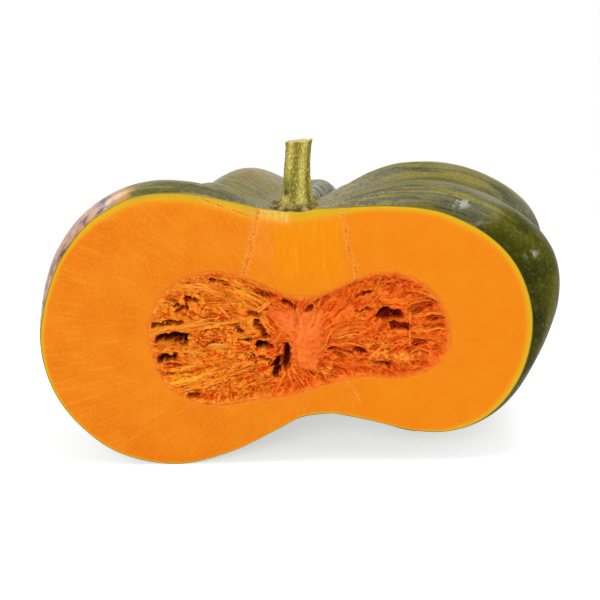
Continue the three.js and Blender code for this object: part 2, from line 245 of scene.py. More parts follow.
def fruit_shift():
    """Where the fruit's own frame lies in the row's frame: their boxes have the same middle and floor."""
    low, high = (np.array(corner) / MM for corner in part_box("half_fruit"))
    points = skin_surface(np.linspace(0, 180, 361), np.linspace(0, 1, 201)).reshape(-1, 3)
    middle = (points.min(0) + points.max(0)) / 2
    return np.array([(low[0] + high[0]) / 2 - middle[0], low[1], low[2]])


SHIFT = fruit_shift()


def to_row(points):
    """Points in the row's frame, in metres, from points in the fruit's frame, in millimetres."""
    return (np.asarray(points, float) + SHIFT) * MM


def new_piece(name, points, faces, materials, values, material_of_face=None, nodes=()):
    """A smooth mesh object on the root body, from points in the fruit's frame, with values at its points."""
    mesh = bpy.data.meshes.new(name)
    mesh.from_pydata(to_row(points).tolist(), [], faces)
    for material in materials:
        mesh.materials.append(material)
    if material_of_face is not None:
        mesh.polygons.foreach_set("material_index", np.asarray(material_of_face, np.int32))
    mesh.polygons.foreach_set("use_smooth", np.ones(len(mesh.polygons), bool))
    for key, value in values.items():
        value = np.asarray(value, np.float32)
        if value.ndim == 2:
            rgba = np.concatenate([value, np.ones((len(value), 1), np.float32)], axis=1)
            mesh.attributes.new(key, "FLOAT_COLOR", "POINT").data.foreach_set("color", rgba.ravel())
        else:
            mesh.attributes.new(key, "FLOAT", "POINT").data.foreach_set("value", value)
    mesh.validate()
    mesh.set_sharp_from_angle(angle=math.radians(50))
    mesh.update()
    piece = bpy.data.objects.new(name, mesh)
    bpy.context.scene.collection.objects.link(piece)
    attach(piece, "root")
    if nodes:
        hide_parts(*nodes)


def grid_faces(rows, columns, closed=False, flip=False):
    """Quads over a grid of points that are stored row by row."""
    i, j = np.meshgrid(np.arange(rows - 1), np.arange(columns if closed else columns - 1), indexing="ij")
    a, b = i * columns + j, i * columns + (j + 1) % columns
    quads = np.stack([a, b, b + columns, a + columns], axis=-1).reshape(-1, 4)
    return quads[:, ::-1] if flip else quads


def tube_faces(rows, sides):
    """Quads over rings of points, and a fan at each end. The start and the end point follow the rings."""
    faces = grid_faces(rows, sides, closed=True).tolist()
    start, end, last = rows * sides, rows * sides + 1, (rows - 1) * sides
    for k in range(sides):
        other = (k + 1) % sides
        faces += [[start, other, k], [end, last + k, last + other]]
    return faces


# ---------------------------------------------------------------- node materials


class Look:
    """The nodes of a material or world as they are built. Most methods add one and give back its output."""

    def __init__(self, owner):
        self.owner = owner
        owner.use_nodes = True
        self.tree = owner.node_tree

    def put(self, socket, value):
        if isinstance(value, bpy.types.NodeSocket):
            self.tree.links.new(value, socket)
        elif isinstance(value, tuple) and len(value) == 3 and socket.type == "RGBA":
            socket.default_value = (*value, 1.0)
        else:
            socket.default_value = value

    def add(self, kind, inputs=None, output=0, **settings):
        node = self.tree.nodes.new(kind)
        for key, value in settings.items():
            setattr(node, key, value)
        for key, value in (inputs or {}).items():
            self.put(node.inputs[key], value)
        return node.outputs[output]

    def finish(self, **inputs):
        """Sets the shader's inputs, named with _ for a space, and gives back the material."""
        for key, value in inputs.items():
            self.put(self.tree.nodes["Principled BSDF"].inputs[key.replace("_", " ")], value)
        return self.owner

    def math(self, operation, a, b):
        return self.add("ShaderNodeMath", {0: a, 1: b}, operation=operation)

    def plus(self, a, b):
        return self.math("ADD", a, b)

    def times(self, a, b):
        return self.math("MULTIPLY", a, b)

    def swing(self, value, much):
        """A noise moved to swing round 0, and scaled."""
        return self.times(self.math("SUBTRACT", value, 0.5), much)

    def attributes(self, names):
        return [self.add("ShaderNodeAttribute", {}, "Fac", attribute_name=name) for name in names.split()]

    def position(self):
        return self.add("ShaderNodeNewGeometry", {}, "Position")

    def stretched(self, scale):
        return self.add("ShaderNodeMapping", {"Vector": self.position(), "Scale": scale})

    def plane(self, x, y, z=0.0):
        return self.add("ShaderNodeCombineXYZ", {0: x, 1: y, 2: z})

    def noise(self, scale, detail=3.0, roughness=0.55, distortion=0.0, at=None):
        """Noise over the position, or over another vector."""
        place = self.position() if at is None else at
        return self.add("ShaderNodeTexNoise", {"Vector": place, "Scale": scale, "Detail": detail,
                                               "Roughness": roughness, "Distortion": distortion})

    def span(self, value, low, high, most=1.0, least=0.0):
        """Least up to low, most from high on, and a soft step between them."""
        inputs = {"Value": value, "From Min": low, "From Max": high, "To Min": least, "To Max": most}
        return self.add("ShaderNodeMapRange", inputs, interpolation_type="SMOOTHSTEP")

    def ramp(self, factor, *stops):
        """A row of colours. Each stop is its place, red, green and blue."""
        ramp = self.add("ShaderNodeValToRGB", {0: factor})
        elements = ramp.node.color_ramp.elements
        while len(elements) < len(stops):
            elements.new(1.0)
        for element, (place, *colour) in zip(elements, stops):
            element.position = place
            element.color = (*colour, 1.0)
        return ramp

    def over(self, below, share, above, blend="MIX"):
        """A share of one colour over another."""
        mix = self.add("ShaderNodeMix", data_type="RGBA", blend_type=blend).node
        self.put(mix.inputs["Factor"], share)
        for socket, value in zip([s for s in mix.inputs if s.type == "RGBA"], (below, above)):
            self.put(socket, value)
        return next(s for s in mix.outputs if s.type == "RGBA")

    def layers(self, colour, *layers):
        """Colours over a colour. Each is a value, its low and high, the most share there, and a colour."""
        for value, low, high, most, above in layers:
            colour = self.over(colour, self.span(value, low, high, most), above)
        return colour

    def bump(self, height, strength, distance, **normal):
        inputs = {"Height": height, "Strength": strength, "Distance": distance, **normal}
        return self.add("ShaderNodeBump", inputs)

    def seen_directly(self):
        """1 for rays that show the background itself: from the camera, in gloss and through glass."""
        camera, gloss, glass = (self.add("ShaderNodeLightPath", {}, f"Is {kind} Ray")
                                for kind in ("Camera", "Glossy", "Transmission"))
        return self.math("MAXIMUM", self.math("MAXIMUM", camera, gloss), glass)


def new_look(name):
    return Look(bpy.data.materials.new(name))


def rind_look():
    """Waxy olive-green skin: streaks along the ribs, grey bloom and painted sheen on top, painted glints, a
    tan ripe patch on the left rib.
    """
    look = new_look("rind")
    angle, share, ridge, top, ripe, rust, glint = look.attributes("angle share ridge top ripe rust glint")
    streaks = look.noise(1.0, 5.0, 0.6, 0.7, at=look.plane(look.times(angle, 0.42), look.times(share, 6.0)))
    short_streaks = look.plane(look.times(angle, 1.3), look.times(share, 13.0), 3.0)
    fine = look.noise(1.0, 4.0, 0.65, 1.0, at=short_streaks)
    blotch = look.noise(19.0, 5.0, 0.62)
    specks = look.noise(520.0, 3.0, 0.7)

    green = look.ramp(blotch, (0.36, 0.024, 0.028, 0.006), (0.48, 0.056, 0.058, 0.002),
                      (0.62, 0.115, 0.110, 0.003))
    green = look.layers(green, (streaks, 0.50, 0.70, 0.6, (0.165, 0.145, 0.005)))
    ground = look.ramp(blotch, (0.34, 0.084, 0.088, 0.050), (0.52, 0.146, 0.145, 0.080),
                       (0.7, 0.200, 0.187, 0.092))
    ground = look.layers(ground, (streaks, 0.47, 0.58, 0.9, (0.300, 0.258, 0.055)),
                         (fine, 0.50, 0.62, 0.65, (0.330, 0.280, 0.075)),
                         (fine, 0.46, 0.34, 0.6, (0.046, 0.048, 0.020)))
    # Skin that faces up turns from the deep green to the greyer, streaky ground: partly bloom, partly painted
    # sheen from the light above.
    ragged_top = look.plus(look.plus(top, look.swing(blotch, 1.1)), look.swing(streaks, 1.6))
    olive = look.over(green, look.span(ragged_top, 0.20, 0.72), ground)
    olive = look.layers(olive, (specks, 0.54, 0.70, 0.35, (0.34, 0.30, 0.10)))
    olive = look.over(olive, look.span(specks, 0.48, 0.34, 0.45), (0.40, 0.42, 0.40), "MULTIPLY")

    furrow = look.span(ridge, 0.55, 0.0)
    # Painted shade: the furrows near the stem are darkened.
    olive = look.over(olive, look.times(furrow, look.span(share, 0.10, 0.24)), (0.50, 0.52, 0.45), "MULTIPLY")
    # Grey bloom near the stem and in its furrows, and painted sheen in swirls on skin that faces up.
    bloom_and_sheen = look.times(furrow, look.span(share, 0.24, 0.08, 0.7))
    bloom_and_sheen = look.math("MAXIMUM", bloom_and_sheen, look.span(share, 0.19, 0.05, 0.95))
    swirl = look.span(look.noise(34.0, 4.0, 0.6, 1.6), 0.56, 0.68)
    bloom_and_sheen = look.math("MAXIMUM", bloom_and_sheen, look.times(swirl, look.span(top, 0.0, 0.6, 0.32, 0.05)))
    bloom = look.ramp(specks, (0.38, 0.23, 0.205, 0.12), (0.62, 0.42, 0.38, 0.24))
    bloomed_and_sheened = look.over(olive, look.times(bloom_and_sheen, look.span(blotch, 0.30, 0.62, 1.0, 0.45)), bloom)

    ripe_edge = look.plus(ripe, look.math("SUBTRACT", look.times(look.noise(36.0, 5.0, 0.7), 0.7), 0.35))
    tan = look.ramp(look.noise(95.0, 5.0, 0.7), (0.37, 0.085, 0.045, 0.060), (0.44, 0.34, 0.17, 0.13),
                    (0.52, 0.60, 0.31, 0.19), (0.66, 0.72, 0.42, 0.27))
    colour = look.layers(bloomed_and_sheened, (ripe_edge, 0.20, 0.36, 1.0, (0.56, 0.27, 0.05)),
                         (ripe_edge, 0.42, 0.58, 1.0, tan))
    colour = look.over(colour, look.times(rust, 0.5), (0.33, 0.27, 0.07))
    rusty = look.times(rust, look.span(look.noise(240.0, 2.0), 0.55, 0.64))
    colour = look.over(colour, rusty, (0.44, 0.22, 0.035))
    # Painted highlights: grey glints painted into the skin's colour, broken up by noise.
    glint = look.times(glint, look.span(look.noise(170.0, 4.0), 0.40, 0.58, 1.0, 0.1))
    colour = look.layers(colour, (glint, 0.05, 0.6, 1.0, (0.38, 0.39, 0.33)))

    pits = look.add("ShaderNodeTexVoronoi", {"Vector": look.position(), "Scale": 260.0}, "Distance")
    dimples = look.bump(look.plus(look.span(pits, 0.0, 0.35), look.times(fine, 0.5)), 0.22, 0.0006)
    dents = look.bump(look.noise(46.0), 0.40, 0.004, Normal=dimples)
    return look.finish(Base_Color=colour, Roughness=look.span(bloom_and_sheen, 0.0, 0.8, 0.50, 0.27),
                       Specular_IOR_Level=0.03, Normal=dents,
                       Coat_Weight=look.span(ripe_edge, 0.22, 0.42, 0.22, 0.06), Coat_Roughness=0.18)


def flesh_look(name, wet=0.0):
    """Moist orange flesh: a green and yellow band under the skin, faint fibres, a core column, cracks."""
    look = new_look(name)
    rim, band, inner, core, cream, crack, around = look.attributes("rim band inner core cream crack around")
    fibres = look.noise(1.0, 4.0, 0.6, 0.15, at=look.plane(look.times(around, 0.42), look.times(rim, 0.03)))
    mottle = look.noise(48.0, 4.0, 0.6)
    grain = look.noise(620.0, 3.0, 0.75)

    orange = look.ramp(mottle, (0.3, 0.81, 0.195, 0.005), (0.5, 0.84, 0.228, 0.006),
                       (0.7, 0.87, 0.262, 0.008))
    across = look.add("ShaderNodeSeparateXYZ", {0: look.position()})
    orange = look.layers(orange, (fibres, 0.5, 0.70, 0.5, (0.92, 0.335, 0.020)),
                         (grain, 0.50, 0.66, 0.34, (0.98, 0.40, 0.03)),
                         (grain, 0.48, 0.34, 0.28, (0.84, 0.16, 0.004)),
                         (across, -0.10, 0.10, 0.6, (0.92, 0.275, 0.005)))
    upright = look.noise(1.0, 3.0, 0.65, at=look.stretched((460.0, 460.0, 55.0)))
    column = look.layers((0.91, 0.29, 0.002), (upright, 0.52, 0.68, 0.45, (0.97, 0.40, 0.016)),
                         (upright, 0.48, 0.34, 0.45, (0.86, 0.215, 0.002)))
    orange = look.over(orange, look.times(core, 0.9), column)
    pink = look.span(look.plus(inner, look.times(mottle, 3.0)), 5.0, 1.5)
    orange = look.over(orange, look.times(pink, 0.5), (0.88, 0.20, 0.022))

    wobble = look.times(look.noise(60.0), 0.7)
    depth = look.math("DIVIDE", look.times(rim, look.plus(wobble, 0.65)), band)
    yellow = look.ramp(look.times(depth, 0.1), (0.0, 0.60, 0.43, 0.014), (0.10, 0.74, 0.47, 0.016),
                       (0.24, 0.82, 0.42, 0.014), (0.45, 0.89, 0.33, 0.010))
    colour = look.over(yellow, look.span(depth, 2.2, 6.6), orange)
    line = look.span(look.plus(rim, look.times(wobble, 0.8)), 1.25, 0.35)
    colour = look.over(colour, look.times(line, look.span(band, 1.2, 2.0, 0.6, 1.0)), (0.17, 0.135, 0.005))
    dull = look.times(look.span(depth, 4.0, 0.4), look.span(mottle, 0.42, 0.60))
    colour = look.over(colour, look.times(dull, look.span(band, 1.1, 1.8, 0.32)), (0.44, 0.33, 0.05))
    creamy = look.times(look.span(cream, 0.0, 0.6), look.span(look.noise(420.0, 4.0), 0.38, 0.62, 0.8, 0.2))
    colour = look.over(colour, creamy, look.ramp(cream, (0.35, 0.96, 0.34, 0.055), (0.9, 0.94, 0.58, 0.14)))

    crumbs = look.noise(700.0, 4.0, 0.7)
    beside = look.times(look.span(crack, 4.0, 0.8), look.span(crumbs, 0.46, 0.60))
    colour = look.over(colour, look.times(beside, 0.6), (0.96, 0.44, 0.10))
    gape = look.span(look.plus(crack, look.swing(crumbs, 2.2)), 0.9, 0.2)
    broken = look.span(look.noise(210.0, 2.0), 0.40, 0.58, 0.8, 0.15)
    colour = look.over(colour, look.times(gape, broken), (0.56, 0.145, 0.006))

    fibrous = look.bump(look.plus(look.times(fibres, 0.5), look.times(grain, 0.4)), 0.30, 0.0008)
    knife = look.noise(1.0, 2.0, at=look.stretched((9.0, 9.0, 60.0)))
    return look.finish(Base_Color=colour, Roughness=0.46 - wet, Specular_IOR_Level=0.06,
                       Normal=look.bump(knife, 0.12, 0.004, Normal=fibrous),
                       Subsurface_Weight=0.22, Subsurface_Radius=(0.010, 0.004, 0.001), Subsurface_Scale=0.5)


def pulp_look(name):
    """Wet fibres, tinted point by point from yellow-orange to deep red-orange, with painted shade and painted
    highlights in the tint.
    """
    look = new_look(name)
    tint = look.add("ShaderNodeAttribute", {}, "Color", attribute_name="tint")
    mottle = look.span(look.noise(330.0, 4.0, 0.65), 0.50, 0.32, 0.7)
    return look.finish(Base_Color=look.over(tint, mottle, (0.84, 0.44, 0.30), "MULTIPLY"), Roughness=0.5,
                       Normal=look.bump(look.noise(1300.0, 3.0, 0.7), 0.25, 0.0004), Specular_IOR_Level=0.05)


def seed_look(name, stain):
    """Wet cream-yellow seed coats, stained orange by the pulp."""
    look = new_look(name)
    edge, = look.attributes("edge")
    mottle = look.noise(260.0)
    body = look.ramp(mottle, (0.32, 0.72, 0.22, 0.015), (0.5, 0.82, 0.31, 0.030), (0.68, 0.88, 0.42, 0.06))
    colour = look.layers(body, (edge, 0.55, 0.95, 0.5, (0.90, 0.44, 0.07)))
    return look.finish(Base_Color=look.over(colour, stain, (0.94, 0.25, 0.016)), Roughness=0.35,
                       Specular_IOR_Level=0.15, Coat_Weight=0.04, Coat_Roughness=0.12, Subsurface_Weight=0.2,
                       Subsurface_Radius=(0.004, 0.002, 0.0006), Subsurface_Scale=0.4,
                       Normal=look.bump(mottle, 0.2, 0.0004))


def stem_look():
    """Dry ridged cork: yellow-olive, darker in the grooves, with pale grains along the ridges."""
    look = new_look("stem")
    ridge, level, wart, knot, moss, torn = look.attributes("ridge level wart knot moss torn")
    grains = look.noise(950.0, 2.0, 0.6, at=look.stretched((1.0, 1.0, 0.7)))
    olive = look.ramp(look.noise(170.0, 5.0, 0.68), (0.3, 0.24, 0.20, 0.022), (0.5, 0.42, 0.35, 0.050),
                      (0.72, 0.56, 0.48, 0.088))
    foot = look.ramp(look.noise(330.0, 4.0), (0.38, 0.09, 0.058, 0.016), (0.5, 0.205, 0.148, 0.040),
                     (0.66, 0.47, 0.39, 0.14))
    colour = look.layers(olive, (ridge, -0.2, 0.8, 0.65, (0.62, 0.54, 0.12)),
                         (ridge, -0.1, -0.9, 0.75, (0.19, 0.145, 0.014)),
                         (grains, 0.53, 0.66, 0.65, (0.82, 0.72, 0.24)),
                         (grains, 0.46, 0.33, 0.6, (0.14, 0.10, 0.012)),
                         (wart, 0.25, 0.8, 0.8, (0.86, 0.76, 0.30)), (level, 14.0, 9.5, 1.0, foot))
    colour = look.over(colour, knot, (0.13, 0.055, 0.022))
    colour = look.over(colour, moss, (0.10, 0.12, 0.022))
    fresh = look.ramp(look.noise(500.0), (0.40, 0.52, 0.42, 0.12), (0.6, 0.86, 0.76, 0.32))
    height = look.plus(grains, look.noise(1.0, at=look.stretched((500.0, 500.0, 120.0))))
    return look.finish(Base_Color=look.over(colour, torn, fresh), Roughness=0.78, Specular_IOR_Level=0.15,
                       Normal=look.bump(height, 0.6, 0.0007))


# ---------------------------------------------------------------- the half fruit

# Cracks in the cut: points down the crack from top to bottom, and how wide it gapes, in millimetres.
CRACKS = [
    ([(-25, 179), (-26, 174), (-29, 163), (-31, 157), (-31, 152), (-34, 144), (-38, 134)], 1.1),
    ([(-25, 180), (-25, 177)], 2.2),
    ([(28, 177), (30, 164), (31, 152), (35, 141), (36, 130)], 0.8),
    ([(26, 61), (32, 52), (36, 44)], 0.5),
    ([(-131, 181), (-126, 177), (-118, 176)], 0.5),
    ([(-62, 188), (-54, 184), (-40, 178), (-27, 173)], 0.6),
]
FAR_FROM_CRACK = 8.0
CRACK_DEPTH = 0.2
# A distance to the skin or to the cavity that is too far to colour the flesh, in millimetres.
FAR_AWAY = 60.0
# Rows down the skin, rings across the cut, rows round the cavity and rows over each rib.
DOWN, RINGS, ROUND_CAVITY, PER_RIB = 280, 64, 22, 24
# Glints painted as grey patches into the skin's colour, two on the front right rib, one behind the stem and
# one on the back left
# rib: strength, angle and its spread, share down the skin and its spread.
GLINTS = [(1, 3.2, 2.8, 0.258, 0.024), (0.55, 2.2, 1.7, 0.398, 0.013), (0.6, 84, 9, 0.165, 0.09),
          (0.22, 123, 9, 0.15, 0.06)]
RUST = (114, 18, 0.18, 0.14)


def distance_to_line(x, z, points):
    """Distance from each place to a line through the points, in the plane of the cut."""
    nearest = np.full(np.shape(x), 1e9)
    for (ax, az), (bx, bz) in zip(points[:-1], points[1:]):
        length = (bx - ax) ** 2 + (bz - az) ** 2
        along = np.clip(((x - ax) * (bx - ax) + (z - az) * (bz - az)) / length, 0, 1)
        nearest = np.minimum(nearest, np.hypot(x - ax - along * (bx - ax), z - az - along * (bz - az)))
    return nearest


def crack_distance(x, z):
    """Distance from the nearest crack, in units of its width."""
    jag = 1.1 * rough_noise(x / 4, z / 4, seed=11)
    far = [distance_to_line(x + jag, z + 0.5 * jag, points) / width for points, width in CRACKS]
    return np.minimum(np.min(far, axis=0), FAR_FROM_CRACK)


def cut_loop(shares):
    """The skin's and the cavity's outline in the cut, all the way round, in step with each other."""
    return [np.concatenate([spline(right, shares), spline(left, shares)[-2:0:-1]])
            for right, left, *_ in (SKIN, CAVITY)]


def skin_patch(angles, shares, angle, angle_spread, share, share_spread):
    """A soft patch on the skin, 1 in its middle."""
    return hill(angles[:, None], angle, angle_spread) * hill(shares[None], share, share_spread)


# The painted highlights of GLINTS, the strongest of them at each place on the skin.
def painted_glint_patches(angles, shares):
    return np.max([strength * skin_patch(angles, shares, *patch) for strength, *patch in GLINTS], axis=0)


def ripe_patch(angles, shares):
    """The tan patch where the left rib lay towards the ground or the sun."""
    return hill(angles[:, None], 180, 30) ** 0.7 * hill(shares[None], 0.36, 0.17) ** 0.5


def rib_share(angles):
    """0 in a furrow, 1 on the top of a rib."""
    return np.sin(np.pi * rib_place(angles)[1]) ** 0.8


def bloom_and_sheen_share(angles, shares, skin):
    """1 where the skin faces up and is high: there it is greyer, partly from bloom and partly from painted
    sheen.
    """
    _, up = turn_normal(SKIN, angles, shares)
    degrees = angles[:, None]
    behind = smooth(degrees, 14, 50)
    left_rib = smooth(degrees, 150, 165)
    facing_up = smooth(up, lerp(0.0, -0.7, behind), 0.85)
    high = smooth(skin[..., 2], lerp(105, 25, behind), 165)
    front_side = (1 - smooth(degrees, 16, 30)) * smooth(shares, 0.275, 0.335)
    return facing_up * high * (1 - 0.55 * left_rib) * (1 - 0.85 * front_side)


def rim_band(x, z):
    """How wide the yellow band is under the skin, as a multiple of its usual width."""
    top = smooth(z, 150, 178)
    left_top = np.exp(-((x + 75) / 50) ** 2) * top
    at_stem = np.exp(-((x + 12) / 42) ** 4) * top
    right = smooth(x, 60, 120)
    underside = (1 - smooth(z, 25, 90)) * (x < 100)
    return 0.62 + 1.1 * left_top + 1.15 * at_stem + 0.35 * top + 0.38 * right - 0.25 * underside


def core_share(x, z):
    """The more vivid column of flesh between the stem and the cavity."""
    return smooth(x, -15.9, -15.1) * (1 - smooth(x, 24, 32)) * smooth(z, 112, 150)


def cream_share(x, z):
    """The pale corky wedge in the flesh under the stem's left side, and the pale strip below it."""
    wedge = smooth(x, -27, -24) * (1 - smooth(x, -8, -1)) * smooth(z + 0.25 * x, 162, 172)
    strip = smooth(x, -34, -27) * (1 - smooth(x, -16.5, -15)) * smooth(z, 134, 150)
    return np.maximum(wedge, (0.26 + 0.1 * rough_noise(x / 5, z / 9, seed=12)) * strip)


def cut_face(loop_skin, loop_hole):
    """The face of the cut, in rings from the skin to the cavity, and the values that colour it."""
    share = np.linspace(0, 1, RINGS + 1)[:, None]
    torn = [rough_noise(*(loop_hole / 3.2).T, seed=seed) for seed in (7, 8)]
    loop_hole = loop_hole + 0.7 * np.stack(torn, axis=-1)
    x, z = np.moveaxis(lerp(loop_skin, loop_hole, share[..., None]), -1, 0)
    rim = np.hypot(x - loop_skin[:, 0], z - loop_skin[:, 1])
    inner = np.hypot(x - loop_hole[:, 0], z - loop_hole[:, 1])
    crack = crack_distance(x, z)
    waves = 0.12 * (1 + noise(x / 24, z / 11, seed=6)) * smooth(rim, 0, 3)
    ragged = (1 - smooth(inner, 0, 2.6)) * (0.8 + 0.5 * rough_noise(x / 2.2, z / 2.2, seed=5))
    y = CRACK_DEPTH * (1 - smooth(crack, 0.4, 1.8)) * smooth(rim, 0.5, 2.5) + waves + ragged
    around = np.arange(len(loop_skin)) * (900 / len(loop_skin))
    values = {"rim": rim, "inner": inner, "crack": crack, "around": around + 0 * x,
              "band": rim_band(*loop_skin.T) + 0 * x, "core": core_share(x, z), "cream": cream_share(x, z)}
    # The first ring is the skin's own edge.
    return np.stack([x, y, z], axis=-1)[1:], {key: value[1:] for key, value in values.items()}


def half_fruit():
    """One closed mesh: the skin, the face of the cut with its cracks, and the wall of the cavity."""
    shares = np.linspace(0, 1, DOWN + 1) ** 1.15
    across = (1 - np.cos(np.linspace(0, np.pi, PER_RIB + 1))) / 2
    edges = np.minimum(FURROWS[:, 0], 180.0)
    angles = np.concatenate([lerp(a, b, across[:-1]) for a, b in zip(edges[:-1], edges[1:])] + [[180.0]])
    skin = skin_surface(angles, shares)
    turns, levels = skin.shape[:2]
    loop_skin, loop_hole = cut_loop(shares)
    around = len(loop_skin)
    face, on_face = cut_face(loop_skin, loop_hole)
    cavity_angles = np.linspace(0, 180, ROUND_CAVITY + 1)
    cavity = around_axis(cavity_angles, *plain_turn(CAVITY, cavity_angles, shares))[1:-1]

    surfaces = [surface.reshape(-1, 3) for surface in (skin, face, cavity)]
    face_start = len(surfaces[0])
    cavity_start = face_start + len(surfaces[1])
    points = np.concatenate(surfaces)

    # The loop goes down the skin's first row and back up its last row.
    edge_loop = np.concatenate([np.arange(levels), (turns - 1) * levels + np.arange(levels)[-2:0:-1]])
    face_rows = [edge_loop] + [face_start + k * around + np.arange(around) for k in range(RINGS)]
    hole_loop = face_rows[-1]
    last_row = np.concatenate([hole_loop[:1], hole_loop[levels:][::-1], hole_loop[levels - 1:levels]])
    inner_rows = [cavity_start + k * levels + np.arange(levels) for k in range(ROUND_CAVITY - 1)]
    cavity_rows = [hole_loop[:levels]] + inner_rows + [last_row]
    quads = [grid_faces(turns, levels)]
    quads += [np.stack([a, b, np.roll(b, -1), np.roll(a, -1)], axis=-1)
              for a, b in zip(face_rows, face_rows[1:])]
    quads += [np.stack([a[:-1], b[:-1], b[1:], a[1:]], axis=-1) for a, b in zip(cavity_rows, cavity_rows[1:])]
    material = np.repeat([0] + [1] * RINGS + [2] * ROUND_CAVITY, [len(part) for part in quads])

    on_skin = {"angle": np.repeat(angles, levels), "share": np.tile(shares, turns),
               "top": bloom_and_sheen_share(angles, shares, skin), "ridge": np.repeat(rib_share(angles), levels),
               "ripe": ripe_patch(angles, shares), "rust": skin_patch(angles, shares, *RUST),
               "glint": painted_glint_patches(angles, shares), "band": 1.0, "inner": FAR_AWAY, "crack": FAR_FROM_CRACK}
    on_cavity = {"band": 1.0, "rim": FAR_AWAY, "around": np.tile(shares * 450, ROUND_CAVITY - 1),
                 "crack": FAR_FROM_CRACK}
    places = (slice(0, face_start), slice(face_start, cavity_start), slice(cavity_start, None))
    values = {}
    for place, part_values in zip(places, (on_skin, on_face, on_cavity)):
        for key, value in part_values.items():
            values.setdefault(key, np.zeros(len(points)))[place] = np.ravel(value)
    values["band"][edge_loop] = rim_band(*loop_skin.T)

    points, faces, values, material = weld(points, np.concatenate(quads), values, material)
    materials = [rind_look(), flesh_look("flesh"), flesh_look("cavity_wall", wet=0.1)]
    new_piece("fruit", points, faces, materials, values, material, nodes=("half_fruit",))


def weld(points, quads, values, material_of_face):
    """Joins points that lie together, as at the poles, and drops the faces that shrink to a line."""
    _, keep, new_index = np.unique(np.round(points, 4), axis=0, return_index=True, return_inverse=True)
    faces, material = [], []
    for quad, slot in zip(new_index.ravel()[quads].tolist(), material_of_face.tolist()):
        corners = [c for k, c in enumerate(quad) if c != quad[k - 1]]
        if len(set(corners)) == len(corners) > 2:
            faces.append(corners)
            material.append(slot)
    return points[keep], faces, {key: value[keep] for key, value in values.items()}, material


# ---------------------------------------------------------------- the pulp

CORE = (-2.0, 86.0)
PULP_DEPTH = 4.2
# Broad hollows in the pulp's face: x, z, half width, half height and depth. A negative depth is a swelling.
HOLLOWS = [
    (57, 100, 9, 6, 8), (34, 112, 16, 5, 2.5), (84, 104, 8, 9, 2.5), (-90, 88, 7, 8, 5),
    (-80, 108, 8, 7, 3), (-15, 76, 3, 8, 5), (54, 76, 18, 5, -1.5), (-50, 92, 26, 16, -0.5),
    (-28, 92, 5, 9, 1.5), (-58, 83, 8, 3.4, 2.4),
]
# Gaps between the fibres, painted nearly black as shade: both ends, half width and depth.
GAPS = [
    (-96, 90, -81, 89, 3.6, 20), (-77, 119, -70, 117, 1.5, 13), (-76, 116, -77, 111, 1.5, 12),
    (-85, 109, -78, 110, 1.6, 12), (-91, 116, -84, 116, 0.9, 8), (-85, 114, -80, 112, 1.0, 10),
    (-100, 101, -94, 99, 1.8, 11), (-91, 101, -81, 101, 1.6, 12), (-97, 74, -87, 76, 2.1, 14),
    (-92, 71, -84, 71, 1.1, 9), (-101, 66, -88, 65, 1.2, 8), (-79, 49, -72, 50, 1.2, 8),
    (-85, 46, -79, 45, 1.2, 8), (-59, 131, -48, 127, 1.1, 7), (-46, 98, -40, 94, 1.6, 9),
    (-42, 88, -36, 87, 1.6, 8), (-30, 84, -23, 82, 2.0, 16), (-36, 78, -33, 76, 1.5, 9),
    (-29, 76, -24, 72, 1.8, 10), (-31, 99, -25, 90, 2.6, 9), (-35, 108, -29, 105, 1.6, 8),
    (-28, 122, -19, 118, 1.8, 9), (-64, 85, -61, 86, 0.8, 6), (-35, 127, -29, 122, 0.9, 6),
    (-12, 83, -13, 69, 2.5, 28), (-19, 74, -20, 63, 2.6, 16), (-12, 116, -6, 111, 1.6, 9),
    (3, 108, 7, 110, 1.4, 9), (9, 114, 15, 118, 1.2, 8), (36, 117, 44, 121, 1.7, 10),
    (35, 106, 43, 107, 1.5, 12), (51, 103, 61, 103, 4.0, 40), (58, 95, 69, 95, 2.2, 18),
    (71, 107, 83, 108, 2.4, 8), (83, 100, 91, 101, 1.6, 8), (79, 95, 93, 96, 1.0, 7),
    (73, 83, 81, 85, 1.9, 10), (51, 124, 67, 125, 0.7, 5), (63, 128, 69, 126, 1.0, 7),
    (80, 115, 90, 112, 1.3, 7), (17, 81, 30, 79, 1.5, 11), (18, 77, 26, 75, 1.2, 9),
    (32, 81, 40, 78, 1.7, 12), (46, 72, 56, 69, 1.8, 11),
]
# Torn lumps and the round ends of seeds' membranes: x, z, half width, half height and how far they stand out.
LUMPS = [
    (43, 83, 3.0, 5.5, 5), (50, 76, 5.5, 4.0, 6), (61, 75, 5.0, 3.5, 6), (69, 72, 4.0, 4.5, 5),
    (72, 68, 5.0, 1.8, 4), (13, 65, 4.8, 4.8, 5), (-29, 66, 4.6, 4.6, 4), (-31, 79, 3.6, 3.2, 4),
    (-45, 56, 4.5, 3.5, 3), (-34, 88, 4.0, 3.0, 3), (-77, 84, 6.0, 2.4, 3), (-68, 110, 6.0, 3.2, 3),
]
# Seeds that lie under the pulp's surface: x, z and roll.
COVERED_SEEDS = [
    (-68, 110, -12), (-53, 108, -38), (-44, 70, 22), (-42, 119, -42), (-39, 84, -4), (-72, 97, 10),
    (-74, 72, -8), (-45, 56, 34), (-66, 58, 14), (-27, 64, 40), (15, 67, 62), (47, 77, 50), (66, 75, -20),
]
# The smooth membrane at the core: its left and right edges at some heights.
FAN_HEIGHTS = (62, 69, 74, 84, 91, 98, 104, 110, 115)
FAN_LEFT = (3, -5, -8, -9, -12, -19, -23, -24, -16)
FAN_RIGHT = (5, 9, 10, 11, 12, 14, 17, 12, 6)
# The smooth sheets: middle, half width and half height, and how steeply they rise to the right.
SWEPT_SHEET, SWEPT_RISE = (28, 108, 17, 7.5), 0.57
FLAP, FLAP_RISE = (57, 115, 14, 5), -0.55
